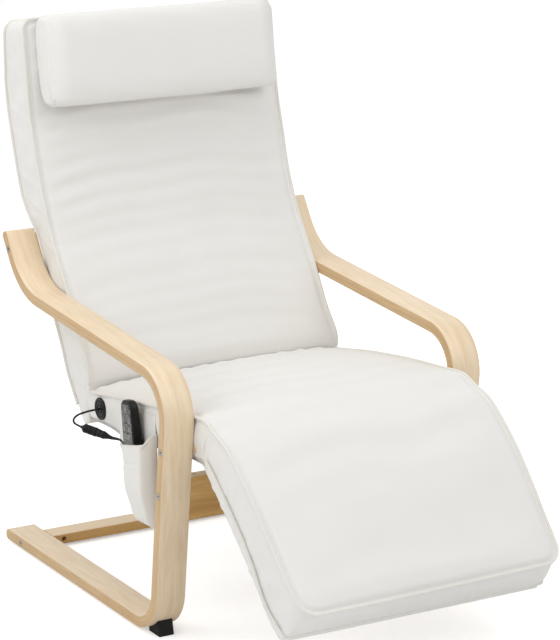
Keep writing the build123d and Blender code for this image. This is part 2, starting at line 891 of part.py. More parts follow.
with BuildPart() as back_rear_cover:
    cover_outer = moving_outer
    with BuildSketch(side_plane(cover_outer)):
        with BuildLine():
            rears = [back_at(cover_split, cover_pinch)]
            rise = cover_top_along - cover_split
            for along_share, depth_share in zip(cover_high_along_shares, cover_high_shares):
                rears.append(back_at(cover_split + rise * along_share, cover_out(depth_share)))
            quilted(rears)
            Line(rears[-1], back_at(cover_top_along, cover_inner))
            draw_back_line(cover_split, cover_top_along, cover_inner)
            Line(back_at(cover_split, cover_inner), rears[0])
        make_face()
    extrude(amount=2 * cover_outer)
    cover_middle = fixed_inner - cover_slot_clearance
    with BuildSketch(side_plane(cover_middle)):
        draw_cover_foot()
    extrude(amount=2 * cover_middle)
    for side, sign in sides:
        with BuildSketch(side_plane(sign * cover_outer)):
            draw_cover_foot()
        extrude(amount=sign * moving_stile_width)
back_rear_cover.part.label = "back_rear_cover"
export_step(back_rear_cover.part, "parts/back_rear_cover.step")

# Back frame: two stiles bent with the back, a top rail, a steel strip and webbing
back_frame_start = back_hinge_along - hinge_plate_radius
back_frame_end = back_length - frame_end_inset
with BuildPart() as back_stiles:
    for side, sign in sides:
        with BuildSketch(side_plane(sign * moving_inner)):
            band_outline(back_at, back_frame_start, back_frame_end, -frame_thickness, 0)
        extrude(amount=-sign * moving_stile_width)
back_stiles.part.label = "back_stiles"
export_step(back_stiles.part, "parts/back_stiles.step")

with BuildPart() as back_top_rail:
    with BuildSketch(side_plane(moving_inner)):
        band_outline(back_at, back_frame_end - rail_width, back_frame_end, -frame_thickness, 0)
    extrude(amount=2 * moving_inner)
back_top_rail.part.label = "back_top_rail"
export_step(back_top_rail.part, "parts/back_top_rail.step")

with BuildPart() as back_bottom_strip:
    with BuildSketch(side_plane(moving_inner)):
        band_outline(
            back_at, bottom_strip_along, bottom_strip_along + bottom_strip_width, -strap_thickness, 0
        )
    extrude(amount=2 * moving_inner)
back_bottom_strip.part.label = "back_bottom_strip"
export_step(back_bottom_strip.part, "parts/back_bottom_strip.step")

back_strap_shares = (0.22, 0.33, 0.46, 0.58, 0.7, 0.81, 0.9)
with BuildPart() as back_webbing:
    straps(back_at, [back_length * share for share in back_strap_shares], -pad_clearance, moving_inner)
back_webbing.part.label = "back_webbing"
export_step(back_webbing.part, "parts/back_webbing.step")

# Leg frame
leg_frame_low = leg_frame_top - frame_thickness
leg_frame_end = leg_rest_length - frame_end_inset
with BuildPart() as leg_stiles:
    for side, sign in sides:
        with BuildSketch(side_plane(sign * moving_inner)):
            band_outline(leg_at, 0, leg_frame_end, leg_frame_low, leg_frame_top)
        extrude(amount=-sign * moving_stile_width)
leg_stiles.part.label = "leg_stiles"
export_step(leg_stiles.part, "parts/leg_stiles.step")

for name, along in (("knee_rail", knee_rail_along), ("foot_rail", leg_frame_end - rail_width)):
    with BuildPart() as leg_rail:
        with BuildSketch(side_plane(moving_inner)):
            band_outline(leg_at, along, along + rail_width, leg_frame_low, leg_frame_top)
        extrude(amount=2 * moving_inner)
    leg_rail.part.label = name
    export_step(leg_rail.part, f"parts/{name}.step")

leg_strap_shares = (0.17, 0.5, 0.83)
leg_strap_start = knee_rail_along + rail_width
leg_strap_span = leg_frame_end - rail_width - leg_strap_start
leg_strap_places = [leg_strap_start + leg_strap_span * share for share in leg_strap_shares]
with BuildPart() as leg_webbing:
    straps(leg_at, leg_strap_places, leg_frame_top, moving_inner)
leg_webbing.part.label = "leg_webbing"
export_step(leg_webbing.part, "parts/leg_webbing.step")


# Hinge plates, each a round ear with a strip along what it is screwed to
def hinge_plates(name, across, hinge, draw_strip):
    """Write a pair of hinge plates whose inner faces stand at a distance across."""
    with BuildPart() as plates:
        for side, sign in sides:
            with BuildSketch(side_plane(sign * across)):
                draw_strip()
                with Locations(hinge):
                    Circle(hinge_plate_radius)
            extrude(amount=-sign * hinge_plate_thickness)
            hole = hinge_pin_radius + pin_running_clearance
            bored(spot_plane(sign * across, hinge), hole, hinge_plate_thickness, both=True)
    plates.part.label = name
    export_step(plates.part, f"parts/{name}.step")


def fixed_back_strip():
    """Strip along the fixed stile."""
    strip_end = back_hinge_along + hinge_plate_reach
    band_outline(tail_line_at, back_hinge_along, strip_end, fixed_back_rear, fixed_back_front)


def moving_back_strip():
    """Strip along the back's own stile."""
    band_outline(back_at, back_hinge_along, back_hinge_along + hinge_plate_reach, -frame_thickness, 0)


def knee_bracket_strip():
    """Arm from the front face of the seat rail to the knee hinge."""
    rail_front = seat_rail_along + seat_rail_width / 2
    strip_low = -frame_thickness - hinge_plate_radius / 2
    band_outline(seat_at, rail_front, seat_length, strip_low, -board_edge_round * 2)


def leg_plate_strip():
    """Strip along the leg rest's stile."""
    band_outline(leg_at, 0, hinge_plate_reach, leg_frame_low, leg_frame_top)


hinge_plates("back_hinge_fixed_plates", fixed_outer, back_hinge, fixed_back_strip)
hinge_plates("back_hinge_moving_plates", moving_plate_inner, back_hinge, moving_back_strip)
hinge_plates("knee_hinge_brackets", fixed_outer, knee, knee_bracket_strip)
hinge_plates("knee_hinge_leg_plates", moving_plate_inner, knee, leg_plate_strip)

# Hinge pins: the back's are let into the fixed stiles, the knee's have heads
pin_end = moving_inner - plate_gap / 2
with BuildPart() as hinge_pins:
    for side, sign in sides:
        for hinge, start in ((back_hinge, fixed_outer - hinge_pin_bite), (knee, fixed_outer)):
            with BuildSketch(spot_plane(sign * start, hinge)):
                Circle(hinge_pin_radius)
            extrude(amount=sign * (start - pin_end))
        with BuildSketch(spot_plane(sign * fixed_outer, knee)):
            Circle(pin_head_radius)
        extrude(amount=sign * hinge_plate_thickness)
hinge_pins.part.label = "hinge_pins"
export_step(hinge_pins.part, "parts/hinge_pins.step")

# Massage motors: a can open towards the frame, and an unbalanced weight hanging from its shaft
boss_start = motor_height - motor_wall - motor_boss_height
weight_start = boss_start - weight_gap - weight_thickness
for place, plane in motor_planes.items():
    with BuildPart() as motor_case:
        with BuildSketch(plane):
            Circle(motor_radius)
        extrude(amount=motor_height)
        bored(plane, motor_radius - motor_wall, motor_height - motor_wall)
        with BuildSketch(plane.offset(boss_start)):
            Circle(motor_boss_radius)
        extrude(amount=motor_boss_height)
        bored(plane.offset(boss_start), motor_shaft_radius + pin_running_clearance, motor_bore_depth)
    motor_case.part.label = f"{place}_motor_case"
    export_step(motor_case.part, f"parts/{place}_motor_case.step")
    lowest = -math.copysign(weight_radius, plane.y_dir.Z)
    with BuildPart() as motor_weight:
        with BuildSketch(plane.offset(weight_start)):
            with BuildLine():
                Line((-weight_radius, 0), (weight_radius, 0))
                ThreePointArc((weight_radius, 0), (0, lowest), (-weight_radius, 0))
            make_face()
            Circle(weight_hub_radius)
        extrude(amount=weight_thickness)
        with BuildSketch(plane.offset(weight_start)):
            Circle(motor_shaft_radius)
        extrude(amount=weight_thickness + weight_gap + motor_bore_depth - body_gap)
    motor_weight.part.label = f"{place}_motor_weight"
    export_step(motor_weight.part, f"parts/{place}_motor_weight.step")

# Control box in the seat foam, open below, with the power inlet against its side wall
with BuildPart() as control_box:
    with BuildSketch(seat_plane(box_along, 0, box_across)):
        Rectangle(box_width, box_length)
    extrude(amount=box_height)
    with BuildSketch(seat_plane(box_along, 0, box_across)):
        Rectangle(box_width - 2 * box_wall, box_length - 2 * box_wall)
    extrude(amount=box_height - box_wall, mode=Mode.SUBTRACT)
control_box.part.label = "control_box"
export_step(control_box.part, "parts/control_box.step")

inlet_along = rear_rail_along + rail_width / 2 + inlet_gap
inlet_across = box_side + box_wall + inlet_width / 2
with BuildPart() as power_inlet:
    with BuildSketch(seat_plane(inlet_along, 0, inlet_across)):
        Rectangle(inlet_width, inlet_width)
    extrude(amount=inlet_length + inlet_floor)
    bored(seat_plane(inlet_along, 0, inlet_across), inlet_bore_radius, inlet_length)
power_inlet.part.label = "power_inlet"
export_step(power_inlet.part, "parts/power_inlet.step")

# Grommet in the side of the seat, and the lead from the box through it
with BuildPart() as cord_grommet:
    with BuildSketch(grommet_plane):
        Circle(grommet_radius)
    extrude(amount=grommet_lip)
    with BuildSketch(grommet_plane):
        Circle(grommet_radius - grommet_lip_width)
    extrude(amount=-grommet_depth)
    bored(grommet_plane, lead_diameter / 2 + lead_clearance, grommet_depth, both=True)
    fillet(cord_grommet.edges().group_by(Axis.X)[0].sort_by(SortBy.LENGTH)[-1], grommet_lip / 2)
cord_grommet.part.label = "cord_grommet"
export_step(cord_grommet.part, "parts/cord_grommet.step")

grommet_face = pad_width / 2 + grommet_lip
with BuildPart() as inner_lead:
    with BuildSketch(spot_plane(box_side, grommet_point)):
        Circle(lead_diameter / 2)
    extrude(amount=grommet_face + box_side)
inner_lead.part.label = "inner_lead"
export_step(inner_lead.part, "parts/inner_lead.step")

# Pocket hanging from a seam in the side of the seat
with BuildPart() as remote_pocket:
    with BuildSketch(side_plane(-pocket_inner)):
        with BuildLine():
            Polyline(
                mouth_back,
                mouth_front,
                side_spot(pocket_mouth_front, pocket_foot),
                side_spot(pocket_foot_back, pocket_foot),
                close=True,
            )
        make_face()
    extrude(amount=pocket_depth)
    foot_edges = remote_pocket.edges().filter_by(Axis.X).sort_by(Axis.Z)[:2]
    fillet(foot_edges, pocket_round)
    mouth = remote_pocket.faces().sort_by(Axis.Z)[-1]
    outer_edges = remote_pocket.faces().sort_by(Axis.X)[0].edges() - mouth.edges()
    fillet(outer_edges, pocket_round)
    mouth = remote_pocket.faces().sort_by(Axis.Z)[-1]
    offset(amount=-pocket_wall, openings=mouth)
    with BuildSketch(side_plane(-pocket_inner)):
        with BuildLine():
            Polyline(
                mouth_back,
                mouth_front,
                seat_at(seam_end, seam_top),
                seat_at(seam_start, seam_top),
                close=True,
            )
        make_face()
    extrude(amount=pocket_wall)
    with BuildSketch(side_plane(pocket_seam_depth - pad_width / 2)):
        draw_seam()
    extrude(amount=pocket_seam_depth + pocket_gap)
remote_pocket.part.label = "remote_pocket"
export_step(remote_pocket.part, "parts/remote_pocket.step")

# Handset standing in the pocket, drawn on its outer face
handset_inner = pocket_inner + pocket_wall + handset_pocket_gap
handset_up = heading(90 + handset_tilt)
handset_middle = side_spot(handset_top_forward, handset_top_height) - handset_up * (handset_length / 2)


def handset_plane(depth):
    """Plane facing outward in the handset, at a depth below its outer face."""
    return Plane(
        origin=placed(depth - handset_inner - handset_thickness, handset_middle),
        x_dir=(0, -handset_up.Y, -handset_up.X),
        z_dir=(-1, 0, 0),
    )


button_place_shares = {
    "power_button": (0, 0.4),
    "upper_back_button": (-0.22, 0.28),
    "lower_back_button": (0.22, 0.28),
    "seat_button": (-0.22, 0.19),
    "leg_button": (0.22, 0.19),
    "timer_button": (0, 0.1),
}


def button_outline(name, margin=0):
    """Face of a button, or its hole or flange, grown by a margin."""
    across_share, up_share = button_place_shares[name]
    with Locations((handset_width * across_share, handset_length * up_share)):
        if name == "power_button":
            Circle(power_button_radius + margin)
        elif name == "timer_button":
            Rectangle(timer_button_width + 2 * margin, button_size + 2 * margin)
        else:
            Rectangle(button_size + 2 * margin, button_size + 2 * margin)


half_thickness = handset_thickness / 2
post_across = handset_width / 2 - handset_wall - board_post_radius * 2
post_along = handset_length / 2 - handset_wall - board_post_radius * 2
with BuildPart() as handset_front_shell:
    with BuildSketch(handset_plane(0)):
        RectangleRounded(handset_width, handset_length, handset_round)
    extrude(amount=-half_thickness)
    fillet(handset_front_shell.faces().sort_by(Axis.X)[0].edges(), handset_round / 2)
    with BuildSketch(handset_plane(half_thickness)):
        RectangleRounded(
            handset_width - 2 * handset_wall, handset_length - 2 * handset_wall, handset_round - handset_wall
        )
    extrude(amount=half_thickness - handset_wall, mode=Mode.SUBTRACT)
    with BuildSketch(handset_plane(board_depth)):
        with GridLocations(2 * post_across, 2 * post_along, 2, 2):
            Circle(board_post_radius)
    extrude(amount=board_depth - handset_wall)
    with BuildSketch(handset_plane(0)):
        for name in button_place_shares:
            button_outline(name, button_clearance)
    extrude(amount=-handset_wall, mode=Mode.SUBTRACT)
handset_front_shell.part.label = "handset_front_shell"
export_step(handset_front_shell.part, "parts/handset_front_shell.step")

with BuildPart() as handset_back_shell:
    with BuildSketch(handset_plane(half_thickness)):
        RectangleRounded(handset_width, handset_length, handset_round)
    extrude(amount=-half_thickness)
    fillet(handset_back_shell.faces().sort_by(Axis.X)[-1].edges(), handset_round / 2)
    with BuildSketch(handset_plane(half_thickness)):
        RectangleRounded(
            handset_width - 2 * handset_wall, handset_length - 2 * handset_wall, handset_round - handset_wall
        )
    extrude(amount=handset_wall - half_thickness, mode=Mode.SUBTRACT)
handset_back_shell.part.label = "handset_back_shell"
export_step(handset_back_shell.part, "parts/handset_back_shell.step")

with BuildPart() as handset_circuit_board:
    with BuildSketch(handset_plane(board_depth)):
        board_inset = 2 * (handset_wall + board_margin)
        RectangleRounded(
            handset_width - board_inset, handset_length - board_inset, handset_round - handset_wall
        )
    extrude(amount=-board_thickness)
handset_circuit_board.part.label = "handset_circuit_board"
export_step(handset_circuit_board.part, "parts/handset_circuit_board.step")

flange_depth = handset_wall + button_rest_gap
for name, (across_share, up_share) in button_place_shares.items():
    with BuildPart() as button:
        with BuildSketch(handset_plane(-button_proud)):
            button_outline(name)
        extrude(amount=-button_proud - flange_depth)
        with BuildSketch(handset_plane(flange_depth)):
            button_outline(name, button_flange_margin)
        extrude(amount=-button_flange)
        with BuildSketch(handset_plane(flange_depth)):
            with Locations((handset_width * across_share, handset_length * up_share)):
                Circle(button_stem_radius)
        extrude(amount=flange_depth + button_travel + body_gap - board_depth)
    button.part.label = name
    export_step(button.part, f"parts/{name}.step")

# Pillow and its patches
pillow_swell = 12
pillow_edge_swell = 6
pillow_edge_round = 9
pillow_section_shares = (-1, -0.96, -0.5, 0, 0.5, 0.96, 1)
pillow_crown_shares = (0.3, 0.4, 0.9, 1, 0.9, 0.4, 0.3)
with BuildPart() as head_pillow:
    profiles = []
    for share, crown, edge in zip(pillow_section_shares, pillow_crown_shares, section_edge_shares):
        inset = edge * pillow_edge_round
        low = pillow_edge_swell + inset
        high = pillow_height - pillow_edge_swell - inset
        front = pillow_thickness - pillow_swell - inset
        corners = [
            pillow_at(low, inset), pillow_at(high, inset), pillow_at(high, front), pillow_at(low, front)
        ]
        with BuildSketch(side_plane(share * pillow_width / 2), mode=Mode.PRIVATE) as profile:
            with BuildLine():
                Line(corners[0], corners[1])
                bowed(corners[2], corners[1], -pillow_edge_swell * crown)
                bowed(corners[3], corners[2], -pillow_swell * crown)
                bowed(corners[0], corners[3], -pillow_edge_swell * crown)
            make_face()
        profiles.append(profile.sketch)
    loft_pad(profiles)
    for across in patch_places:
        with BuildSketch(pillow_plane(across, patch_up, 0)):
            Rectangle(patch_length, patch_height)
        extrude(amount=patch_thickness, mode=Mode.SUBTRACT)
head_pillow.part.label = "head_pillow"
export_step(head_pillow.part, "parts/head_pillow.step")

for name, out, depth in (
    ("pillow_loop_strips", 0, patch_thickness),
    ("pillow_hook_strips", -body_gap, -hook_patch_thickness),
):
    with BuildPart() as patches:
        for across in patch_places:
            with BuildSketch(pillow_plane(across, patch_up, out)):
                Rectangle(patch_length, patch_height)
            extrude(amount=depth)
    patches.part.label = name
    export_step(patches.part, f"parts/{name}.step")

# Leads outside the seat, as points out from the pad's side, and forward and up from the grommet
motor_lead_points = (
    (3, 0, 0),
    (14, 0, 0),
    (24, -3, -1.5),
    (33.5, -7.5, -4.5),
    (43.5, -11.5, -8),
    (53.5, -8, -12),
    (59.5, 0.5, -16),
    (58.3, 10.2, -19.6),
    (52, 18, -22.5),
)
handset_lead_points = (
    (14, 65, -40),
    (7.1, 73.5, -43.2),
    (6.6, 85.5, -45),
    (9, 98, -47),
    (11.5, 108, -54.5),
    (14, 114, -66),
    (15.5, 117.5, -81),
    (16.5, 121, -98),
    (17.5, 127, -115),
    (18, 136, -131),
    (18, 148, -142),
    (18, 162.5, -146),
    (18, 176, -141),
    (18, 184, -128),
    (18, 183.7, -106.7),
)


def lead_spot(place):
    """Row-frame point of a lead's route."""
    out, forward, up = place
    return placed(-pad_width / 2 - out, side_spot(forward, up))



def make_lead(name, places):
    """Write a lead as straight runs joined by arcs as large as the runs allow."""
    points = [lead_spot(place) for place in places]
    radii = []
    for before, corner, after in zip(points, points[1:], points[2:]):
        arriving = corner - before
        leaving = after - corner
        half_turn = math.radians(arriving.get_angle(leaving) / 2)
        radii.append(lead_run_share * min(arriving.length, leaving.length) / math.tan(half_turn))
    with BuildPart() as lead:
        with BuildLine() as route:
            FilletPolyline(*points, radius=radii)
        with BuildSketch(Plane(origin=points[0], z_dir=points[1] - points[0])):
            Circle(lead_diameter / 2)
        sweep()
    length = sum(edge.length for edge in route.edges())
    section = math.pi * (lead_diameter / 2) ** 2
    print(name, "radii", [round(radius, 1) for radius in radii])
    print(name, "length", round(length, 1), "volume share", round(lead.part.volume / (section * length), 4))
    lead.part.label = name
    export_step(lead.part, f"parts/{name}.step")


make_lead("motor_lead", motor_lead_points)
make_lead("handset_lead", handset_lead_points)

# Connector pair between the two leads
connector_start = lead_spot(motor_lead_points[-1])
connector_end = lead_spot(handset_lead_points[0])
connector_way = connector_end - connector_start
socket_length = connector_way.length * connector_share
socket_plane = Plane(origin=connector_start, z_dir=connector_way)
with BuildPart() as connector_socket:
    with BuildSketch(socket_plane):
        Circle(connector_radius)
    extrude(amount=socket_length)
    rims = connector_socket.edges().filter_by(GeomType.CIRCLE)
    fillet(rims.sort_by_distance(connector_start)[0], connector_radius / 4)
    nose_depth = plug_nose_length + plug_clearance
    bored(socket_plane.offset(socket_length), plug_nose_radius + plug_clearance, -nose_depth)
connector_socket.part.label = "connector_socket"
export_step(connector_socket.part, "parts/connector_socket.step")

with BuildPart() as connector_plug:
    with BuildSketch(socket_plane.offset(socket_length)):
        Circle(plug_radius)
    extrude(amount=connector_way.length - socket_length)
    rims = connector_plug.edges().filter_by(GeomType.CIRCLE)
    fillet(rims.sort_by_distance(connector_end)[0], plug_radius / 4)
    with BuildSketch(socket_plane.offset(socket_length)):
        Circle(plug_nose_radius)
    extrude(amount=-plug_nose_length)
connector_plug.part.label = "connector_plug"
export_step(connector_plug.part, "parts/connector_plug.step")
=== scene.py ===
import json
import math

import bmesh
import bpy
import numpy as np
from mathutils import Matrix, Vector


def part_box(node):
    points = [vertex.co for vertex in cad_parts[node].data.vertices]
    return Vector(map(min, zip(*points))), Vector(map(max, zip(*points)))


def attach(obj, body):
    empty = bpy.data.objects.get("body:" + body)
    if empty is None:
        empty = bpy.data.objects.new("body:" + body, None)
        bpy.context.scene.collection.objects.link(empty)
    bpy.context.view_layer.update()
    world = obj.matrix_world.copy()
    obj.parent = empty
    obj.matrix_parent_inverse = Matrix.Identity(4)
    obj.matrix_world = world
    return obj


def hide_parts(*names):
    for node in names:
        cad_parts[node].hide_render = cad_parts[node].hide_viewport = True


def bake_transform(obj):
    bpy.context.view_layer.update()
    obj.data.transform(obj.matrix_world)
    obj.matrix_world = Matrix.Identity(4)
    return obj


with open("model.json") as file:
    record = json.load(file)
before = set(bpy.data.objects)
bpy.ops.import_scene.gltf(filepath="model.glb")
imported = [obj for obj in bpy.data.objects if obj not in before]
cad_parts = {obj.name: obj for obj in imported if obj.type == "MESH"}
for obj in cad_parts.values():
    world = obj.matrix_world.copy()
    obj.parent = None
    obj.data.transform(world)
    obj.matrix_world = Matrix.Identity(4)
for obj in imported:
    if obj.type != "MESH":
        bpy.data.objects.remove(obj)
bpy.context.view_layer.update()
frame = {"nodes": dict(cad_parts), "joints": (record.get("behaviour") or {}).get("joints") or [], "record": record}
nodes = frame["nodes"]

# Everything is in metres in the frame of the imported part. Side profiles are written as
# (forward, height) pairs; forward is -Y.
MM = 0.001

# The part draws its side profiles from a point this far behind the row's origin; the
# runners' rear ends are 337.6 mm behind that point
RUNNER_BACK = 337.6
DEPTH_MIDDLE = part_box("side_frame_right")[1][1] - RUNNER_BACK * MM


def part_spot(across, forward, height):
    """Row-frame point of a place that the part gives in millimetres."""
    return (across * MM, DEPTH_MIDDLE - forward * MM, height * MM)


def placed(name, data):
    """New object in the scene."""
    piece = bpy.data.objects.new(name, data)
    bpy.context.scene.collection.objects.link(piece)
    return piece


# Places that the frame gives
def joint_place(name):
    """Side-profile point of a hinge."""
    found = [joint for joint in frame["joints"] if joint["name"] == name][0]
    return np.array([-found["pos_m"][1], found["pos_m"][2]])


def heading(angle):
    """Unit direction in a side profile, at an angle above forward."""
    return np.array([math.cos(math.radians(angle)), math.sin(math.radians(angle))])


SEAT_SLOPE = 8
LEG_SLOPE = 41
BACK_ANGLE = 123.4
BACK_TURN = 26.9
BACK_BEND = 500 * MM
BACK_BEND_START = 432.4 * MM
FRAME_DEPTH = 18 * MM
HINGE_ALONG = 22 * MM
PAD_WIDTH = 540 * MM

knee = joint_place("legrest_tilt")
back_hinge = joint_place("backrest_tilt")
fold = back_hinge - heading(BACK_ANGLE) * HINGE_ALONG + heading(BACK_ANGLE - 90) * FRAME_DEPTH / 2
bend_centre = fold + heading(BACK_ANGLE) * BACK_BEND_START + heading(BACK_ANGLE - 90) * BACK_BEND
bend_end = BACK_BEND_START + BACK_BEND * math.radians(BACK_TURN)


def seat_at(along, up):
    """Side-profile point of the seat, from the fold along the seat frame's top."""
    return fold + heading(SEAT_SLOPE) * along + heading(SEAT_SLOPE + 90) * up


def leg_at(along, up):
    """Side-profile point of the leg rest, from the knee hinge."""
    return knee + heading(-LEG_SLOPE) * along + heading(90 - LEG_SLOPE) * up


def back_at(along, out):
    """Side-profile point of the back, along its curved frame and out to the front."""
    if along <= BACK_BEND_START:
        return fold + heading(BACK_ANGLE) * along + heading(BACK_ANGLE - 90) * out
    turned = min(math.degrees((along - BACK_BEND_START) / BACK_BEND), BACK_TURN)
    angle = BACK_ANGLE - turned
    base = bend_centre + heading(angle + 90) * (BACK_BEND - out)
    return base + heading(angle) * max(along - bend_end, 0)


# Camera, at the photograph's place
CAMERA_AZIMUTH = -30.498
CAMERA_ELEVATION = 14.848
CAMERA_ROLL = 0.169
CAMERA_FOCAL = 2784.8
CAMERA_PLACE = Vector((-2.5308, DEPTH_MIDDLE - 4.4692, 1.8502))
CAMERA_REACH = 50
IMAGE_WIDTH = 560
IMAGE_HEIGHT = 640
PRINCIPAL_POINT = (281.61, 319.38)
SENSOR = 36


def make_camera():
    """Perspective camera at the photograph's viewing angle."""
    azimuth, elevation = math.radians(CAMERA_AZIMUTH), math.radians(CAMERA_ELEVATION)
    back = Vector((
        math.sin(azimuth) * math.cos(elevation),
        -math.cos(azimuth) * math.cos(elevation),
        math.sin(elevation),
    ))
    data = bpy.data.cameras.new("camera")
    camera = placed("camera", data)
    roll = Matrix.Rotation(math.radians(CAMERA_ROLL), 3, "Z")
    turn = (-back).to_track_quat("-Z", "Y").to_matrix() @ roll
    camera.matrix_world = Matrix.Translation(CAMERA_PLACE) @ turn.to_4x4()
    data.sensor_width = SENSOR
    data.lens = CAMERA_FOCAL * SENSOR / IMAGE_HEIGHT
    data.shift_x = (IMAGE_WIDTH / 2 - PRINCIPAL_POINT[0]) / IMAGE_HEIGHT
    data.shift_y = (PRINCIPAL_POINT[1] - IMAGE_HEIGHT / 2) / IMAGE_HEIGHT
    data.clip_end = CAMERA_REACH
    bpy.context.scene.camera = camera


make_camera()


# Materials
def new_material(name):
    """Node material with its tree and its shader."""
    material = bpy.data.materials.new(name)
    material.use_nodes = True
    return material, material.node_tree, material.node_tree.nodes["Principled BSDF"]


def set_inputs(tree, node, inputs):
    """Set or link a node's inputs."""
    for key, value in inputs.items():
        if isinstance(value, bpy.types.NodeSocket):
            tree.links.new(value, node.inputs[key])
        else:
            node.inputs[key].default_value = value


def add_node(tree, kind, inputs, **settings):
    """Shader node with its properties and inputs."""
    node = tree.nodes.new("ShaderNode" + kind)
    for key, value in settings.items():
        setattr(node, key, value)
    set_inputs(tree, node, inputs)
    return node


def stretched(tree, source, scale):
    """Coordinates scaled along each axis."""
    return add_node(tree, "Mapping", {"Vector": source, "Scale": scale}).outputs["Vector"]


def noise(tree, vector, scale, detail=3, roughness=0.5):
    """Noise as a factor."""
    inputs = {"Vector": vector, "Scale": scale, "Detail": detail, "Roughness": roughness}
    return add_node(tree, "TexNoise", inputs).outputs["Fac"]


def combined(tree, operation, first, second):
    """Result of a sum, a product or a comparison of two values."""
    return add_node(tree, "Math", {0: first, 1: second}, operation=operation).outputs[0]


def ramp(tree, factor, stops):
    """Colour ramp with stops of (place, colour)."""
    node = add_node(tree, "ValToRGB", {"Fac": factor})
    elements = node.color_ramp.elements
    while len(elements) < len(stops):
        elements.new(0.5)
    for element, (place, colour) in zip(elements, stops):
        element.position = place
        element.color = (*colour, 1)
    return node.outputs["Color"]


def mixed(tree, factor, first, second, mode="MIX"):
    """Mix of two colours."""
    first, second = (c if isinstance(c, bpy.types.NodeSocket) else (*c, 1) for c in (first, second))
    node = add_node(tree, "Mix", {}, data_type="RGBA", blend_type=mode)
    set_inputs(tree, node, {0: factor, 6: first, 7: second})
    return node.outputs[2]


def finished(made, colour, height, bump, inputs):
    """Material given its colour, its bump as (strength, distance), and its shader's inputs."""
    material, tree, shader = made
    relief = add_node(tree, "Bump", {"Height": height, "Strength": bump[0], "Distance": bump[1]})
    set_inputs(tree, shader, {"Base Color": colour, "Normal": relief.outputs["Normal"], **inputs})
    return material


def object_coordinates(tree):
    """Coordinates that stay with the mesh."""
    return add_node(tree, "TexCoord", {}).outputs["Object"]


def fabric_material(name, light, shade):
    """Plain weave: threads both ways, slubs, and a slight cloudiness."""
    made = new_material(name)
    tree = made[1]
    place = object_coordinates(tree)
    slubs = noise(tree, stretched(tree, place, (30, 700, 700)), 1)
    base = mixed(tree, noise(tree, place, 9), shade, light)
    base = mixed(tree, 0.12, base, ramp(tree, slubs, [(0.3, shade), (0.7, light)]))
    weave = {"Vector": place, "Scale": 620, "Distortion": 1.2}
    threads = [add_node(tree, "TexWave", weave, bands_direction=way).outputs["Fac"] for way in "XZ"]
    creases = combined(tree, "MULTIPLY", noise(tree, place, 38, 4, 0.6), 5)
    height = combined(tree, "ADD", combined(tree, "ADD", *threads), creases)
    return finished(made, base, height, (0.35, 0.0006),
                    {"Roughness": 0.92, "Sheen Weight": 0.15, "Sheen Roughness": 0.5})


def grained(tree, streaks, fine, ends, tones):
    """Streaked wood colour with a finer grain over it; tones are pale, middle and dark."""
    pale, mid, dark = tones
    colour = ramp(tree, streaks, [(ends[0], dark), (0.5, mid), (ends[1], pale)])
    return mixed(tree, 0.25, colour, ramp(tree, fine, [(0.35, dark), (0.65, pale)]))


def birch_material(name, *tones, edge=False):
    """Birch veneer whose grain follows the band; on an edge, thin layers show instead."""
    made = new_material(name)
    tree = made[1]
    pale, mid, dark = tones
    grain = add_node(tree, "UVMap", {}, uv_map="grain").outputs["UV"]
    streak_scale = (2.2, 60, 1) if edge else (2.5, 22, 1)
    streaks = noise(tree, stretched(tree, grain, streak_scale), 4, 6, 0.62)
    fine = noise(tree, stretched(tree, grain, (14, 900, 1)), 1, 2)
    clouds = noise(tree, object_coordinates(tree), 5, 2)
    colour = grained(tree, streaks, fine, (0.28, 0.68), tones)
    colour = mixed(tree, 0.3, colour, ramp(tree, clouds, [(0.35, mid), (0.65, pale)]))
    if edge:
        across = {"Vector": stretched(tree, grain, (0, 1, 0)), "Scale": 105, "Distortion": 0}
        layers = add_node(tree, "TexWave", across, bands_direction="Y", wave_profile="SAW")
        lines = ramp(tree, layers.outputs["Fac"], [(0, dark), (0.22, mid), (1, pale)])
        colour = mixed(tree, 0.55, colour, lines, "MULTIPLY")
    return finished(made, colour, streaks, (0.25, 0.0004),
                    {"Roughness": 0.42, "Coat Weight": 0.12, "Coat Roughness": 0.3})


def board_material(name, *tones, direction, top=None):
    """Wood whose grain runs along one axis; top is a paler colour painted onto faces that look up, a painted
    highlight of the light from above.
    """
    made = new_material(name)
    tree = made[1]
    place = object_coordinates(tree)
    scale = [45, 45, 45]
    scale[direction] = 2.5
    streaks = noise(tree, stretched(tree, place, scale), 1, 6, 0.6)
    fine = noise(tree, stretched(tree, place, [s * 9 for s in scale]), 1, 2)
    colour = grained(tree, streaks, fine, (0.3, 0.7), tones)
    # Painted highlight: faces that look up are mixed towards the paler top colour, standing in for the light from
    # above and its sheen
    if top is not None:
        normal = add_node(tree, "NewGeometry", {}).outputs["True Normal"]
        upward = add_node(tree, "SeparateXYZ", {"Vector": normal}).outputs["Z"]
        painted_highlight_colour = mixed(tree, 0.85, colour, top)
        colour = mixed(tree, ramp(tree, upward, [(0.4, (0, 0, 0)), (0.8, (1, 1, 1))]), colour, painted_highlight_colour)
    return finished(made, colour, streaks, (0.25, 0.0004),
                    {"Roughness": 0.5, "Coat Weight": 0.05, "Coat Roughness": 0.25})


TONE_SPREAD = 0.12


def plain_material(name, colour, roughness, metallic=0, grain=900, strength=0.15, specular=0.5):
    """Moulded or metal surface with a fine grain and a slight change of tone."""
    made = new_material(name)
    tree = made[1]
    place = object_coordinates(tree)
    darker = tuple(c * (1 - TONE_SPREAD) for c in colour)
    lighter = tuple(min(c * (1 + TONE_SPREAD), 1) for c in colour)
    toned = ramp(tree, noise(tree, place, 60), [(0.3, darker), (0.7, lighter)])
    return finished(made, toned, noise(tree, place, grain, 2), (strength, 0.0003),
                    {"Roughness": roughness, "Metallic": metallic, "Specular IOR Level": specular})


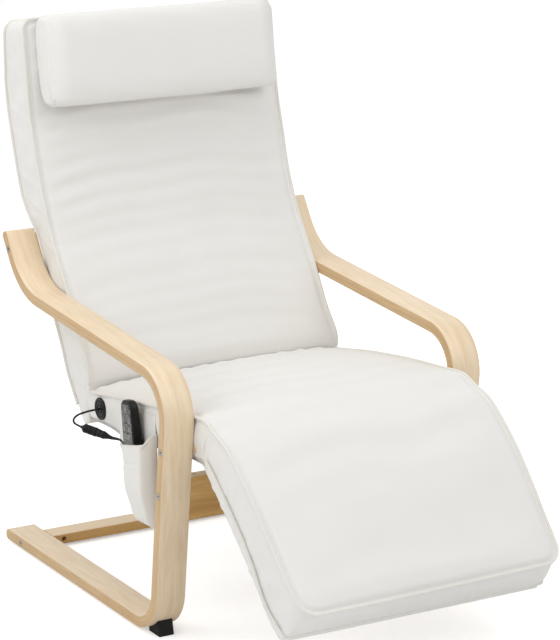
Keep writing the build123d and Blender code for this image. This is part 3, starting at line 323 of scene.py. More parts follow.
def speckled_material(name, dark, pale, size):
    """Moulded grip surface with small pale specks on a dark ground."""
    made = new_material(name)
    tree = made[1]
    place = object_coordinates(tree)
    specks = add_node(tree, "TexVoronoi", {"Vector": place, "Scale": 1 / size}).outputs["Distance"]
    middle = tuple((d + p) / 2 for d, p in zip(dark, pale))
    ground = ramp(tree, noise(tree, place, 0.35 / size, 2), [(0.38, dark), (0.62, middle)])
    spots = ramp(tree, specks, [(0.25, (1, 1, 1)), (0.45, (0, 0, 0))])
    return finished(made, mixed(tree, spots, ground, pale), specks, (0.4, 0.0004),
                    {"Roughness": 0.5, "Specular IOR Level": 0.35})


fabric = fabric_material("cover_fabric", (0.875, 0.862, 0.83), (0.83, 0.817, 0.785))
piping_fabric = fabric_material("piping_fabric", (0.87, 0.85, 0.8), (0.8, 0.775, 0.72))
birch = birch_material("birch_face", (0.875, 0.73, 0.54), (0.79, 0.625, 0.42), (0.65, 0.46, 0.265))
birch_edge = birch_material("birch_edge", (0.8, 0.65, 0.43), (0.7, 0.52, 0.3), (0.45, 0.29, 0.13),
                            edge=True)
# The board's top colour is a painted highlight on faces that look up
board_wood_and_top_highlight = board_material("board_wood_and_top_highlight", (0.66, 0.415, 0.15), (0.57, 0.325, 0.095), (0.42, 0.205, 0.045),
                            direction=0, top=(0.84, 0.69, 0.49))
frame_wood = board_material("frame_wood", (0.7, 0.55, 0.36), (0.62, 0.47, 0.29), (0.52, 0.37, 0.21),
                            direction=1)
zinc = plain_material("zinc", (0.62, 0.62, 0.61), 0.32, 1)
# Dark colour of the painted shade in the bolt heads' sockets and round their rims
socket_shade_paint = plain_material("socket_shade_paint", (0.1, 0.11, 0.1), 0.5, 0.6)
steel = plain_material("steel", (0.5, 0.5, 0.5), 0.35, 1)
black_rubber = plain_material("black_rubber", (0.01, 0.01, 0.01), 0.7, specular=0.25)
sheath = plain_material("lead_sheath", (0.008, 0.008, 0.008), 0.5, grain=1500, specular=0.3)
black_plastic = plain_material("black_plastic", (0.005, 0.005, 0.0055), 0.38, grain=2600, strength=0.1,
                               specular=0.25)
keypad_surface = speckled_material("keypad_surface", (0.02, 0.02, 0.02), (0.3, 0.295, 0.285), 2.2 * MM)
key_surface = speckled_material("key_surface", (0.1, 0.098, 0.094), (0.42, 0.41, 0.39), 1.6 * MM)
board_green = plain_material("board_green", (0.02, 0.12, 0.04), 0.4)
webbing = fabric_material("webbing", (0.16, 0.15, 0.14), (0.1, 0.1, 0.095))
tape = fabric_material("tape", (0.75, 0.74, 0.7), (0.66, 0.65, 0.62))

NODE_MATERIALS = {
    "birch_board": board_wood_and_top_highlight,
    "frame_wood": frame_wood,
    "zinc_steel": zinc,
    "foot_rubber": black_rubber,
    "webbing": webbing,
    "hook_and_loop": tape,
    "motor_shell": black_plastic,
    "weight_steel": steel,
    "box_plastic": black_plastic,
    "lead_sheath": sheath,
    "handset_plastic": black_plastic,
    "board_green": board_green,
    "button_rubber": key_surface,
    "birch_band": birch,
    "cover_fabric": fabric,
}
for subpart in frame["record"]["subparts"]:
    surface = NODE_MATERIALS[subpart["material_slot"]]
    mesh = nodes[subpart["node"]].data
    mesh.materials.clear()
    mesh.materials.append(surface)


# Mesh helpers
def add_object(name, points, faces, materials, smooth=True, face_materials=None, grain=None):
    """Mesh object from points and faces, with an optional grain map for each point."""
    data = bpy.data.meshes.new(name)
    data.from_pydata([tuple(point) for point in points], [], faces)
    for material in materials:
        data.materials.append(material)
    if smooth:
        data.shade_smooth()
    if face_materials is not None:
        data.polygons.foreach_set("material_index", face_materials)
    if grain is not None:
        layer = data.uv_layers.new(name="grain")
        loops = np.zeros(len(data.loops), dtype=np.int32)
        data.loops.foreach_get("vertex_index", loops)
        layer.data.foreach_set("uv", np.asarray(grain, dtype=np.float32)[loops].ravel())
    return placed(name, data)


def circle(sides):
    """Cosine and sine of even turns round a circle."""
    return [(math.cos(2 * math.pi * k / sides), math.sin(2 * math.pi * k / sides)) for k in range(sides)]


BOTH_ENDS = ("start", "end")


def ring_faces(rings, size, caps=BOTH_ENDS, first=0, closed=False):
    """Quads that join rings of points, each closed on itself, with caps at the named ends."""
    faces = []
    for ring in range(rings if closed else rings - 1):
        start, after = first + ring * size, first + ((ring + 1) % rings) * size
        for k in range(size):
            step = (k + 1) % size
            faces.append((start + k, start + step, after + step, after + k))
    if "start" in caps:
        faces.append(tuple(range(first, first + size))[::-1])
    if "end" in caps:
        faces.append(tuple(range(first + (rings - 1) * size, first + rings * size)))
    return faces


def grid_faces(rows, columns, first=0):
    """Quads of a plain lattice."""
    return [(k, k + 1, k + columns + 1, k + columns)
            for i in range(rows - 1) for k in range(first + i * columns, first + (i + 1) * columns - 1)]


def tube(path, radius, sides, closed=False):
    """Points and faces of a round tube along a path; radius may change along it."""
    path = np.asarray(path, dtype=float)
    if closed:
        tangents = np.roll(path, -1, 0) - np.roll(path, 1, 0)
    else:
        tangents = np.gradient(path, axis=0)
    tangents /= np.linalg.norm(tangents, axis=1)[:, None]
    side = np.cross(tangents[0], (0, 0, 1))
    if np.linalg.norm(side) < 0.1:
        side = np.cross(tangents[0], (1, 0, 0))
    side /= np.linalg.norm(side)
    points = []
    for place, tangent, size in zip(path, tangents, np.broadcast_to(radius, len(path))):
        side = side - tangent * np.dot(side, tangent)
        side /= np.linalg.norm(side)
        other = np.cross(tangent, side)
        points += [place + size * (c * side + s * other) for c, s in circle(sides)]
    return points, ring_faces(len(path), sides, () if closed else BOTH_ENDS, closed=closed)


def random_waves(seed, count, low, high):
    """Unit-height sum of waves with wavelengths between low and high, in one coordinate."""
    draw = np.random.RandomState(seed)
    lengths = np.exp(draw.uniform(math.log(low), math.log(high), count))
    phases = draw.uniform(0, 2 * math.pi, count)
    weights = draw.uniform(0.5, 1, count)

    def wave(value):
        total = 0
        for length, phase, weight in zip(lengths, phases, weights):
            total = total + weight * np.sin(2 * math.pi * value / length + phase)
        return total / np.sqrt((weights ** 2).sum() / 2) * 0.7

    return wave


def smoothstep(value):
    """Smooth rise from 0 to 1."""
    value = np.clip(value, 0, 1)
    return value * value * (3 - 2 * value)


def hump(value, place, width):
    """Smooth hump of height 1 at a place."""
    return np.exp(-((value - place) / width) ** 2)


def read_off(pairs, value):
    """Value from a table of (place, value) pairs."""
    return np.interp(value, *np.array(pairs).T)


def run_along(points):
    """Length of a line of points from its start to each of them."""
    return np.concatenate([[0], np.cumsum(np.linalg.norm(np.diff(points, axis=0), axis=1))])


# Leads: routes near the part's own, as (across, forward, height) in millimetres
MOTOR_LEAD = (
    (-273, -38, 341), (-284, -38, 341), (-294, -41, 339.5), (-303.5, -45.5, 336.5),
    (-313.5, -49.5, 333), (-323.5, -46, 329), (-329.5, -37.5, 325), (-328.3, -27.8, 321.4),
    (-322, -20, 318.5),
)
HANDSET_LEAD = (
    (-283, 31, 304), (-277.5, 40, 304), (-276.5, 51, 305), (-277.5, 63, 303), (-279, 72.5, 297.5),
    (-280.5, 80.5, 286), (-281.5, 85.5, 272), (-281.7, 88, 257), (-281, 92.5, 241), (-280.5, 98.5, 225),
    (-281, 107, 210.5), (-283, 117, 201.5), (-286, 127.5, 197), (-288, 138.5, 200.5), (-288, 146, 213),
    (-288, 145.7, 234.3),
)
LEAD_DIAMETER = 4 * MM


def lead_point(place):
    """Row-frame point of a lead's route point."""
    return Vector(part_spot(*place))


def lead_curve(name, places, bevel=LEAD_DIAMETER / 2):
    """Smooth lead through a route's control points."""
    data = bpy.data.curves.new(name, "CURVE")
    data.dimensions = "3D"
    data.bevel_depth = bevel
    data.bevel_resolution = 4
    data.use_fill_caps = True
    data.resolution_u = 12
    line = data.splines.new("NURBS")
    line.points.add(len(places) - 1)
    for point, place in zip(line.points, places):
        point.co = (*lead_point(place), 1)
    line.order_u = 3
    line.use_endpoint_u = True
    data.materials.append(sheath)
    return placed(name, data)


def lead_path(places):
    """Points along the smooth line of a route."""
    guide = lead_curve("guide", places, 0)
    bpy.context.view_layer.update()
    line = bpy.data.meshes.new_from_object(guide.evaluated_get(bpy.context.evaluated_depsgraph_get()))
    points = np.array([tuple(vertex.co) for vertex in line.vertices])
    bpy.data.objects.remove(guide)
    bpy.data.meshes.remove(line)
    return points


motor_lead = lead_curve("motor_lead_flex", MOTOR_LEAD)
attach(motor_lead, "base")
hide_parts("motor_lead")

# The handset's lead is a tube along the smoothed route
handset_path = lead_path(HANDSET_LEAD)
handset_lead = add_object("handset_lead_flex", *tube(handset_path, LEAD_DIAMETER / 2, 14), [sheath])
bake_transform(handset_lead)
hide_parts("handset_lead")


def mark_sharp(piece, angle):
    """Shade edges sharper than an angle as sharp."""
    work = bmesh.new()
    work.from_mesh(piece.data)
    for edge in work.edges:
        if len(edge.link_faces) == 2 and edge.calc_face_angle() > math.radians(angle):
            edge.smooth = False
    work.to_mesh(piece.data)
    work.free()


def turned_piece(name, start, end, profile):
    """Solid of revolution between two points; profile is (share along, radius in mm) pairs."""
    way = end - start
    turn = way.to_track_quat("Z", "Y").to_matrix()
    points = [start + turn @ Vector((radius * MM * c, radius * MM * s, way.length * share))
              for share, radius in profile for c, s in circle(TURNED_SIDES)]
    piece = add_object(name, points, ring_faces(len(profile), TURNED_SIDES), [black_plastic])
    mark_sharp(piece, 35)
    return piece


# Connector pair: two moulded halves with grip rings and tapered tails
SOCKET_SHARE = 0.52
SOCKET_RING = ((0, 8.8), (0.02, 7.7), (0.07, 7.7), (0.09, 8.8))
SOCKET_PROFILE = [
    (0, 2.6), (0.08, 3.6), (0.14, 5.6), (0.2, 8), (0.26, 8.8),
    *((start + share, radius) for start in (0.32, 0.46, 0.6, 0.74) for share, radius in SOCKET_RING),
    (0.95, 8.8), (1, 8),
]
PLUG_PROFILE = [(0, 7), (0.05, 7.8), (0.2, 7.8), (0.24, 6.9), (0.3, 6.9), (0.34, 7.6), (0.5, 7.4),
                (0.56, 6.2), (0.64, 6), (0.7, 5), (0.86, 3.8), (1, 3.2)]
TURNED_SIDES = 28
RELIEF_SHARE = 0.09
RELIEF_RADII = (3.2, 2.25)
RELIEF_GROOVE = 0.25

socket_start, plug_end = lead_point(MOTOR_LEAD[-1]), lead_point(HANDSET_LEAD[0])
joint_point = socket_start.lerp(plug_end, SOCKET_SHARE)
for piece_name, node_name, start, end, profile in (
    ("connector_socket_grip", "connector_socket", socket_start, joint_point, SOCKET_PROFILE),
    ("connector_plug_grip", "connector_plug", joint_point, plug_end, PLUG_PROFILE),
):
    connector = turned_piece(piece_name, start, end, profile)
    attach(connector, "base")
    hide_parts(node_name)
relief_path = handset_path[:int(len(handset_path) * RELIEF_SHARE)]
relief_radius = np.linspace(*RELIEF_RADII, len(relief_path)) * MM
relief_radius[1::2] -= RELIEF_GROOVE * MM
lead_relief = add_object("lead_strain_relief", *tube(relief_path, relief_radius, 16), [black_plastic])
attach(lead_relief, "base")

# Bentwood bands: the same centre line as the part's, in millimetres
BAND_WIDTH = 60
BAND_THICKNESS = 21
BAND_EASE = 1.6
BAND_STEP = 6
BAND_END_ROUND = 7
END_INSETS = (0, 0.8, 2.2, 4.2, BAND_END_ROUND)
FRAME_HALF_WIDTH = 335
RUNNER_HEIGHT = 14.5
POST_ANGLE = 83.7
TOP_ANGLE = 123.4
BAND_CORNERS = [np.array([-RUNNER_BACK, RUNNER_HEIGHT]), np.array([282.3, RUNNER_HEIGHT])]
for angle, reach in ((POST_ANGLE, 479.1), (176, 585.6), (TOP_ANGLE, 123.1)):
    BAND_CORNERS.append(BAND_CORNERS[-1] + heading(angle) * reach)
BAND_BENDS = (73.4, 79.6, 138.8)
BOLT_PLACES = (
    BAND_CORNERS[1] + heading(POST_ANGLE) * 350.5,
    BAND_CORNERS[1] + heading(POST_ANGLE) * 266,
    np.array([-271, RUNNER_HEIGHT]),
    BAND_CORNERS[4] - heading(TOP_ANGLE) * 36,
)
BOLT_RECESS = 6.3
RECESS_DEPTH = 6
# Painted shade on each bolt head, as (radii, sides, how far proud): a filled hexagon for the socket's hollow and a
# thin ring round the rim
SOCKET_SHADE_RINGS = (((3.1, 2.3), 6, 0.1), ((6.1, 5.2), 32, 0.12))


def band_line():
    """Dense points along the band's centre line."""
    points = [BAND_CORNERS[0]]
    for before, corner, after, radius in zip(BAND_CORNERS, BAND_CORNERS[1:], BAND_CORNERS[2:], BAND_BENDS):
        arriving = (corner - before) / np.linalg.norm(corner - before)
        leaving = (after - corner) / np.linalg.norm(after - corner)
        turn = math.acos(np.clip(arriving @ leaving, -1, 1))
        start = corner - arriving * radius * math.tan(turn / 2)
        straight = start - points[-1]
        count = max(int(np.linalg.norm(straight) / (BAND_STEP * 4)), 1)
        points += [points[-1] + straight * (k + 1) / count for k in range(count)]
        side = math.copysign(1, arriving[0] * leaving[1] - arriving[1] * leaving[0])
        normal = np.array([-arriving[1], arriving[0]]) * side
        count = max(int(radius * turn / BAND_STEP), 6)
        for angle in turn * np.arange(1, count + 1) / count:
            points.append(start + radius * (arriving * math.sin(angle) + normal * (1 - math.cos(angle))))
    straight = BAND_CORNERS[4] - points[-1]
    points += [points[-1] + straight * (k + 1) / 8 for k in range(8)]
    return np.array(points)


def make_band(name, sign):
    """Laminated band with rounded ends, eased edges and bolt recesses."""
    line = band_line()
    length = run_along(line)
    total, half, wide = length[-1], BAND_THICKNESS / 2, BAND_WIDTH / 2
    inner = [place for place in length if BAND_END_ROUND * 1.5 < place < total - BAND_END_ROUND * 1.5]
    stations = sorted({*END_INSETS, *(total - inset for inset in END_INSETS), *inner})

    def place_at(station):
        return np.array([np.interp(station, length, line[:, k]) for k in (0, 1)])

    points, grain = [], []
    for station in stations:
        tangent = place_at(station + 1) - place_at(station - 1)
        tangent /= np.linalg.norm(tangent)
        normal = np.array([-tangent[1], tangent[0]])
        gap = min(station, total - station, BAND_END_ROUND)
        depth = half - BAND_END_ROUND + math.sqrt(max(BAND_END_ROUND ** 2 - (BAND_END_ROUND - gap) ** 2, 0))
        eased = ((wide - BAND_EASE, depth), (wide - BAND_EASE * 0.3, depth - BAND_EASE * 0.3),
                 (wide, depth - BAND_EASE), (wide, 0))
        section = [(-x, y) for x, y in eased] + [(-x, -y) for x, y in eased[2::-1]] + [(0, -depth)]
        section += [(x, -y) for x, y in eased] + [*eased[2::-1], (0, depth)]
        for across, up in section:
            spot = place_at(station) + normal * up
            points.append(part_spot(sign * (FRAME_HALF_WIDTH - wide) + across, *spot))
            on_edge = abs(across) > wide - BAND_EASE
            grain.append((station * MM, (up if on_edge else across) * MM))
    size = len(section)
    kinds = [1 if 1 <= k <= 4 or 9 <= k <= 12 else 0 for k in range(size)] * (len(stations) - 1) + [1, 1]
    faces = ring_faces(len(stations), size)
    band = add_object(name, points, faces, [birch, birch_edge], face_materials=kinds, grain=grain)
    for place in BOLT_PLACES:
        bpy.ops.mesh.primitive_cylinder_add(
            radius=BOLT_RECESS * MM, depth=RECESS_DEPTH * MM, vertices=32,
            location=part_spot(sign * FRAME_HALF_WIDTH, *place), rotation=(0, math.pi / 2, 0),
        )
        cutter = bpy.context.object
        cut = band.modifiers.new("recess", "BOOLEAN")
        cut.operation = "DIFFERENCE"
        cut.object = cutter
        bpy.context.view_layer.objects.active = band
        bpy.ops.object.modifier_apply(modifier="recess")
        bpy.data.objects.remove(cutter)
    mark_sharp(band, 30)
    return band


def make_bolt_socket_shade():
    """Painted shade on the bolt heads: flat dark six-sided patches where the sockets' hollows are, and a fine dark
    ring round each head's rim.
    """
    points, faces = [], []
    for sign in (-1, 1):
        for forward, height in BOLT_PLACES:
            for radii, sides, proud in SOCKET_SHADE_RINGS:
                faces += ring_faces(2, sides, ("end",) if sides == 6 else (), first=len(points))
                out = sign * (FRAME_HALF_WIDTH + proud)
                points += [part_spot(out, forward + radius * c, height + radius * s)
                           for radius in radii for c, s in circle(sides)]
    return add_object("bolt_socket_shade", points, faces, [socket_shade_paint], smooth=False)


for band_name, band_node, band_sign in (
    ("bent_band_right", "side_frame_right", -1), ("bent_band_left", "side_frame_left", 1),
):
    band = make_band(band_name, band_sign)
    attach(band, "base")
    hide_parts(band_node)
bolt_socket_shade = make_bolt_socket_shade()
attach(bolt_socket_shade, "base")


# Pads: a flat rounded rectangle in (along, across), carried onto two side-profile curves
CURVE_SHARES = np.linspace(0, 1, 400)
PIPING_RADIUS = 3.1 * MM
EDGE_ROWS = np.array([0, 1.5, 3, 4.5, 6, 8, 10.5, 13.5]) * MM
EDGE_END = 17 * MM


def pad_curve(points):
    """Smooth side-profile curve through points."""
    points = np.array(points, dtype=float)
    knots = run_along(points)
    slopes = np.gradient(points, knots, axis=0)
    fine = CURVE_SHARES * knots[-1]
    i = np.minimum(np.searchsorted(knots, fine, side="right") - 1, len(knots) - 2)
    gap = (knots[i + 1] - knots[i])[:, None]
    t = (fine - knots[i])[:, None] / gap
    return (
        (2 * t ** 3 - 3 * t ** 2 + 1) * points[i] + (t ** 3 - 2 * t ** 2 + t) * gap * slopes[i]
        + (3 * t ** 2 - 2 * t ** 3) * points[i + 1] + (t ** 3 - t ** 2) * gap * slopes[i + 1]
    )


class Warp:
    """Carries (share along, across, level, lift) onto a pad between two curves."""

    def __init__(self, low_points, high_points, rise):
        self.low = pad_curve(low_points)
        self.high = pad_curve(high_points)
        self.rise = rise
        self.length = run_along(self.high)[-1]

    def at(self, share, across, level, lift=0):
        """Row-frame points, as an array."""
        share, across, level, lift = np.broadcast_arrays(share, across, level, lift)
        low, high = (np.stack([np.interp(share, CURVE_SHARES, curve[:, k]) for k in (0, 1)], -1)
                     for curve in (self.low, self.high))
        up = (high - low) / np.linalg.norm(high - low, axis=-1, keepdims=True)
        lift = lift + self.rise(share * self.length, across) * np.clip(level, 0, 1)
        spot = low + (high - low) * level[..., None] + up * lift[..., None]
        return np.stack([across, -spot[..., 0], spot[..., 1]], -1)


def edge_places(width, count):
    """Lattice places from one edge to the other, closer together near both."""
    inner = np.linspace(EDGE_END, width - EDGE_END, count)
    return np.concatenate([EDGE_ROWS, inner, (width - EDGE_ROWS)[::-1]])


def rounded_lattice(length, radius, rows, places):
    """Lattice over a pad whose far corners are rounded.

    The third result is each point's distance from the outline."""
    along, across = np.meshgrid(rows, places, indexing="ij")
    near = np.minimum(np.minimum(along, length - along), PAD_WIDTH / 2 - np.abs(across))
    a = np.clip(radius - (length - along), 0, None)
    b = np.clip(np.abs(across) - (PAD_WIDTH / 2 - radius), 0, None)
    rounded = (a > 0) & (b > 0)
    factor = np.maximum(a, b) / np.maximum(np.hypot(a, b), 1e-9)
    along = np.where(rounded, length - (radius - a * factor), along)
    across = np.where(rounded, np.sign(across) * (PAD_WIDTH / 2 - radius + b * factor), across)
    return along, across, near


def outline_indices(rows, columns):
    """Boundary of a lattice, in order."""
    loop = [(0, j) for j in range(columns)]
    loop += [(i, columns - 1) for i in range(1, rows)]
    loop += [(rows - 1, j) for j in range(columns - 2, -1, -1)]
    loop += [(i, 0) for i in range(rows - 2, 0, -1)]
    return loop


def wall_points(warp, rim, level, out):
    """Points of a pad's wall at a level, out from the line between its upper and lower rims."""
    upper, lower, outward = rim
    level = np.broadcast_to(level, len(upper))
    place = lower + (upper - lower) * level[:, None] + outward * np.broadcast_to(out, len(upper))[:, None]
    return warp.at(place[:, 0] / warp.length, place[:, 1], level)


def make_pad(name, warp, corners, rows, places, top_lift, bottom_lift, side_levels, side_out, adjust):
    """Closed pad: a top and a bottom lattice joined by a wall that follows side_levels.

    The second result is its rim: upper and lower outlines, and the direction out from them."""
    length = warp.length
    size = (len(rows), len(places))
    loop_rows, loop_columns = np.array(outline_indices(*size)).T
    surfaces, rim = [], []
    for level, radius, lift in ((1, corners[0], top_lift), (0, corners[1], bottom_lift)):
        along, across, near = rounded_lattice(length, radius, rows, places)
        along, across = adjust(along, across, level)
        surfaces.append(warp.at(along / length, across, level, lift(along, across, near)).reshape(-1, 3))
        rim.append(np.stack([along, across], -1)[loop_rows, loop_columns])
    tangent = np.roll(rim[0], -1, 0) - np.roll(rim[0], 1, 0)
    tangent /= np.maximum(np.linalg.norm(tangent, axis=1), 1e-9)[:, None]
    rim.append(np.stack([-tangent[:, 1], tangent[:, 0]], -1))
    run = run_along(rim[0])
    walls = [wall_points(warp, rim, level, side_out(level, *rim[0].T, run)) for level in side_levels]
    points = np.concatenate([surfaces[0], *walls, surfaces[1]])

    count, around = size[0] * size[1], len(run)
    low_start = count + len(walls) * around
    faces = [(a, d, c, b) for a, b, c, d in grid_faces(*size)]
    loop = loop_rows * size[1] + loop_columns
    rings = [loop, *(count + k * around + np.arange(around) for k in range(len(walls))), low_start + loop]
    for upper, lower in zip(rings, rings[1:]):
        quads = np.stack([upper, np.roll(upper, -1), np.roll(lower, -1), lower], -1)
        faces += map(tuple, quads.tolist())
    faces += grid_faces(*size, first=low_start)
    return add_object(name, points, faces, [fabric]), rim


def piping(name, warp, rim, level, out, keep_from, radius=PIPING_RADIUS):
    """Round piping along a pad's rim at a level, out from the wall and past a place along it."""
    path = wall_points(warp, rim, level, out)
    chosen = rim[0][:, 0] > keep_from
    start = int(np.argmax(~chosen))
    kept = np.roll(path, -start, 0)[np.roll(chosen, -start)]
    return add_object(name, *tube(kept, radius, 8), [piping_fabric])


# Seat and leg rest: one cover from the crease to the foot end, bending at the knee.
# Profiles are (along, up) in millimetres, and (angle, radius) round the knee.
SEAT_HIGH = ((-14, 48), (30, 48.5), (100, 50), (200, 50.5), (300, 50), (380, 48.5))
KNEE_HIGH = ((98, 66), (86, 66), (73, 66.5), (60, 67), (49, 69))
LEG_HIGH = ((20, 77), (38, 84), (62, 88), (100, 91), (141, 92), (190, 91), (242, 88), (290, 86), (340, 86),
            (390, 86))
SEAT_LOW = ((-14, -6), (30, -9), (84, -16), (120, -25), (250, -28), (380, -30))
KNEE_LOW = ((98, 16), (86, 15), (73, 14.5), (60, 14), (49, 13.5))
LEG_LOW = ((14, -13), (34, -13), (58, -13), (96, -13), (137, -13), (186, -13), (237, -14.5), (284, -17),
           (334, -21), (379, -15))


def seat_profile(seat, round_knee, leg, side):
    """Side-profile points of the cover over the seat, the knee hinge and the leg rest."""
    points = [seat_at(a * MM, up * MM) for a, up in seat]
    points += [knee + side * heading(angle) * radius * MM for angle, radius in round_knee]
    return points + [leg_at(a * MM, up * MM) for a, up in leg]


# Along the cover's face in metres: the knee, the leg rest, the left edge's extra fullness in
# millimetres, and the level of the leg rest's lower piping
KNEE_START = 0.452
LEG_START = 0.478
FULLER_LEFT = ((0, 10), (0.06, 12), (0.16, 15), (0.28, 15), (0.38, 12), (0.45, 10), (0.5, 16), (0.56, 21),
               (0.66, 21), (0.75, 14), (0.82, 5), (0.88, -5))
LOWER_PIPING = ((LEG_START, 0.255), (0.69, 0.25), (0.745, 0.205), (0.8, 0.12), (0.825, 0.13), (0.86, 0.18),
                (0.9, 0.19))
SEAT_LEVELS = (0.985, 0.955, 0.925, 0.9, 0.87, 0.82, 0.74, 0.64, 0.54, 0.44, 0.36, 0.31, 0.28, 0.25, 0.22,
               0.19, 0.16, 0.13, 0.1, 0.07, 0.04, 0.012)
GROMMET_ALONG = 47 * MM
GROMMET_FLAT = 34 * MM
EDGE_SEAM = 6.5 * MM

ripple_one = random_waves(3, 5, 0.06, 0.105)
ripple_two = random_waves(7, 4, 0.13, 0.3)
slant_wave = random_waves(11, 3, 0.25, 0.6)
pucker_wave = random_waves(19, 7, 0.01, 0.03)
side_wave = random_waves(23, 5, 0.05, 0.16)
side_wave_two = random_waves(29, 4, 0.02, 0.05)
gather_wave = random_waves(31, 5, 0.018, 0.045)


def left_share(across):
    """0 at the right edge of a pad and 1 at its left edge."""
    return across / PAD_WIDTH + 0.5


def seat_rise(along, across):
    """Extra height of the cover towards the left edge."""
    return read_off(FULLER_LEFT, along) * MM * left_share(across)


seat_warp = Warp(seat_profile(SEAT_LOW, KNEE_LOW, LEG_LOW, -1),
                 seat_profile(SEAT_HIGH, KNEE_HIGH, LEG_HIGH, 1), seat_rise)


def edge_detail(along, across, near, seam_depth):
    """Sewn groove beside a pad's piping, with puckers."""
    puckers = 0.5 * MM * pucker_wave(along + across * 0.6) * hump(near, 0, 12 * MM)
    return puckers - seam_depth * hump(near, EDGE_SEAM, 3.2 * MM)


def boxing_creases(level, run, size, fine_size, drift):
    """Creases along a pad's boxing, large and fine."""
    large = size * MM * side_wave(run + level * 0.05)
    return (large + fine_size * MM * side_wave_two(run - level * drift)) * math.sin(math.pi * level)


def seat_lift(along, across, near):
    """Crown, sewn-down edge, soft cross ripples and puckers of the seat and leg rest."""
    part = np.abs(across) / (PAD_WIDTH / 2)
    crown = 7 * MM * (1 - part ** 2.2) + 7 * MM * (1 - part ** 13)
    edge = smoothstep(near / (15 * MM))
    bent = along + 0.012 * slant_wave(across) + 0.03 * across
    ripples = 1.4 * MM * ripple_one(bent) + 1.2 * MM * ripple_two(bent + 0.2 * across)
    inside = smoothstep(near / (70 * MM))
    dip = -2.5 * MM * hump(along, KNEE_START, 0.05)
    end_roll = smoothstep((seat_warp.length - along) / (45 * MM))
    crush = 1.6 * MM * gather_wave(across) * np.exp(-np.clip(along, 0, None) / 0.03)
    crowned = crown * edge * (0.35 + 0.65 * end_roll)
    return crowned + (ripples + dip) * inside + crush + edge_detail(along, across, near, 2.6 * MM)


def lower_level(along):
    """Level of the lower piping on the leg rest's boxing."""
    return read_off(LOWER_PIPING, along)


def seat_side(level, along, across, run):
    """How far the seat's boxing stands out at a level."""
    belly = 3 * MM * math.sin(math.pi * min(max((level - 0.2) / 0.8, 0), 1))
    on_leg = smoothstep((along - LEG_START) / 0.05)
    gathers = 2 * MM * gather_wave(run) * (0.3 + 0.7 * on_leg) * max(1 - level / 0.26, 0)
    seams = hump(level, 0.9, 0.045) + on_leg * hump(level, lower_level(along) + 0.045, 0.035)
    grommet = np.exp(-((along - GROMMET_ALONG) / GROMMET_FLAT) ** 4) * (across < 0)
    under = -6 * MM * (1 - on_leg) * max(1 - level / 0.12, 0)
    end_belly = 9 * MM * smoothstep((along - seat_warp.length) / (25 * MM) + 1) * hump(level, 0.36, 0.22)
    swell = (belly + boxing_creases(level, run, 1.3, 0.5, 0.03)) * (1 - grommet) - MM * grommet
    over_stile = (-0.7 - 9 * (1 - on_leg)) * MM if level < 0.4 else -9 * MM
    return np.maximum(swell + gathers + under + end_belly - 2 * MM * seams, over_stile)


def seat_adjust(along, across, level):
    """The foot end reaches a little less far towards the left."""
    return along - 9 * MM * level * left_share(across) * (along / seat_warp.length) ** 12, across


seat_cover, seat_rim = make_pad(
    "seat_and_leg_cover", seat_warp, (36 * MM, 10 * MM), edge_places(seat_warp.length, 214),
    edge_places(PAD_WIDTH, 84) - PAD_WIDTH / 2, seat_lift, lambda *places: 0, SEAT_LEVELS,
    seat_side, seat_adjust,
)
seat_piping = piping("seat_and_leg_piping", seat_warp, seat_rim, 1, 1.6 * MM, 12 * MM)
leg_seam = piping("leg_lower_piping", seat_warp, seat_rim, lower_level(seat_rim[0][:, 0]), 3 * MM,
                  LEG_START + 0.03, 2.5 * MM)
for piece in (seat_cover, seat_piping, leg_seam):
    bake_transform(piece)
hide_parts("seat_cushion", "leg_cushion")

# Back: front and rear curves, joined by a wall. Places are (along, out) in millimetres.
BACK_FRONT = ((-4, -24), (20, -10), (48, 9), (66, 26), (84, 34), (112, 37), (160, 37), (220, 37), (280, 36),
              (344, 34), (380, 36), (425, 43), (470, 49), (520, 54), (556, 56), (620, 56), (667, 56),
              (722, 54), (780, 53), (802, 50))
BACK_REAR = ((0, -45), (14, -49), (41, -50), (67, -52), (110, -54), (158, -48), (205, -46), (290, -45),
             (326, -26), (338, -20.5), (365, -20.5), (391, -20.5), (403, -25), (437, -36), (468, -41),
             (500, -39), (542, -36), (588, -36), (625, -39), (681, -41), (759, -33), (797, -28))
BACK_SHARES = np.linspace(0, 1, 60)
BACK_LEVELS = (0.985, 0.96, 0.935, 0.91, 0.88, 0.82, 0.72, 0.6, 0.48, 0.36, 0.26, 0.18, 0.12, 0.09, 0.06,
               0.035, 0.012)

# Channels for the fixed stiles, and the stretch behind the upper bar, along the rear face
SLOT_ENDS = (6, 396)
SLOT_LEVEL = -2.75
SLOT_FLOOR = 5
SLOT_SIDES = (213.5, 215.5, 243.5, 245.5)
BAR_ENDS = (300, 405)

back_ripple = random_waves(41, 6, 0.036, 0.066)
back_ripple_two = random_waves(43, 4, 0.1, 0.24)
back_slant = random_waves(47, 3, 0.25, 0.6)


def spread_along(line, shares):
    """Places of a line of (along, out) pairs, at shares of its length."""
    run = run_along(line)
    return [np.interp(shares, run / run[-1], places) for places in np.array(line).T]


def back_rise(along, across):
    """The left edge stands a little fuller."""
    towards = np.clip(left_share(across), 0, 1)
    fuller = np.interp(along, (0.12, 0.25, 0.62, 0.7), (0, 7, 7, 5)) * MM
    return fuller * np.where(along > 0.62, towards ** 7, towards ** 3)


back_low, back_high = ([back_at(a * MM, out * MM) for a, out in zip(*spread_along(line, BACK_SHARES))]
                       for line in (BACK_REAR, BACK_FRONT))
back_warp = Warp(back_low, back_high, back_rise)
rear_places = spread_along(BACK_REAR, CURVE_SHARES)[0]


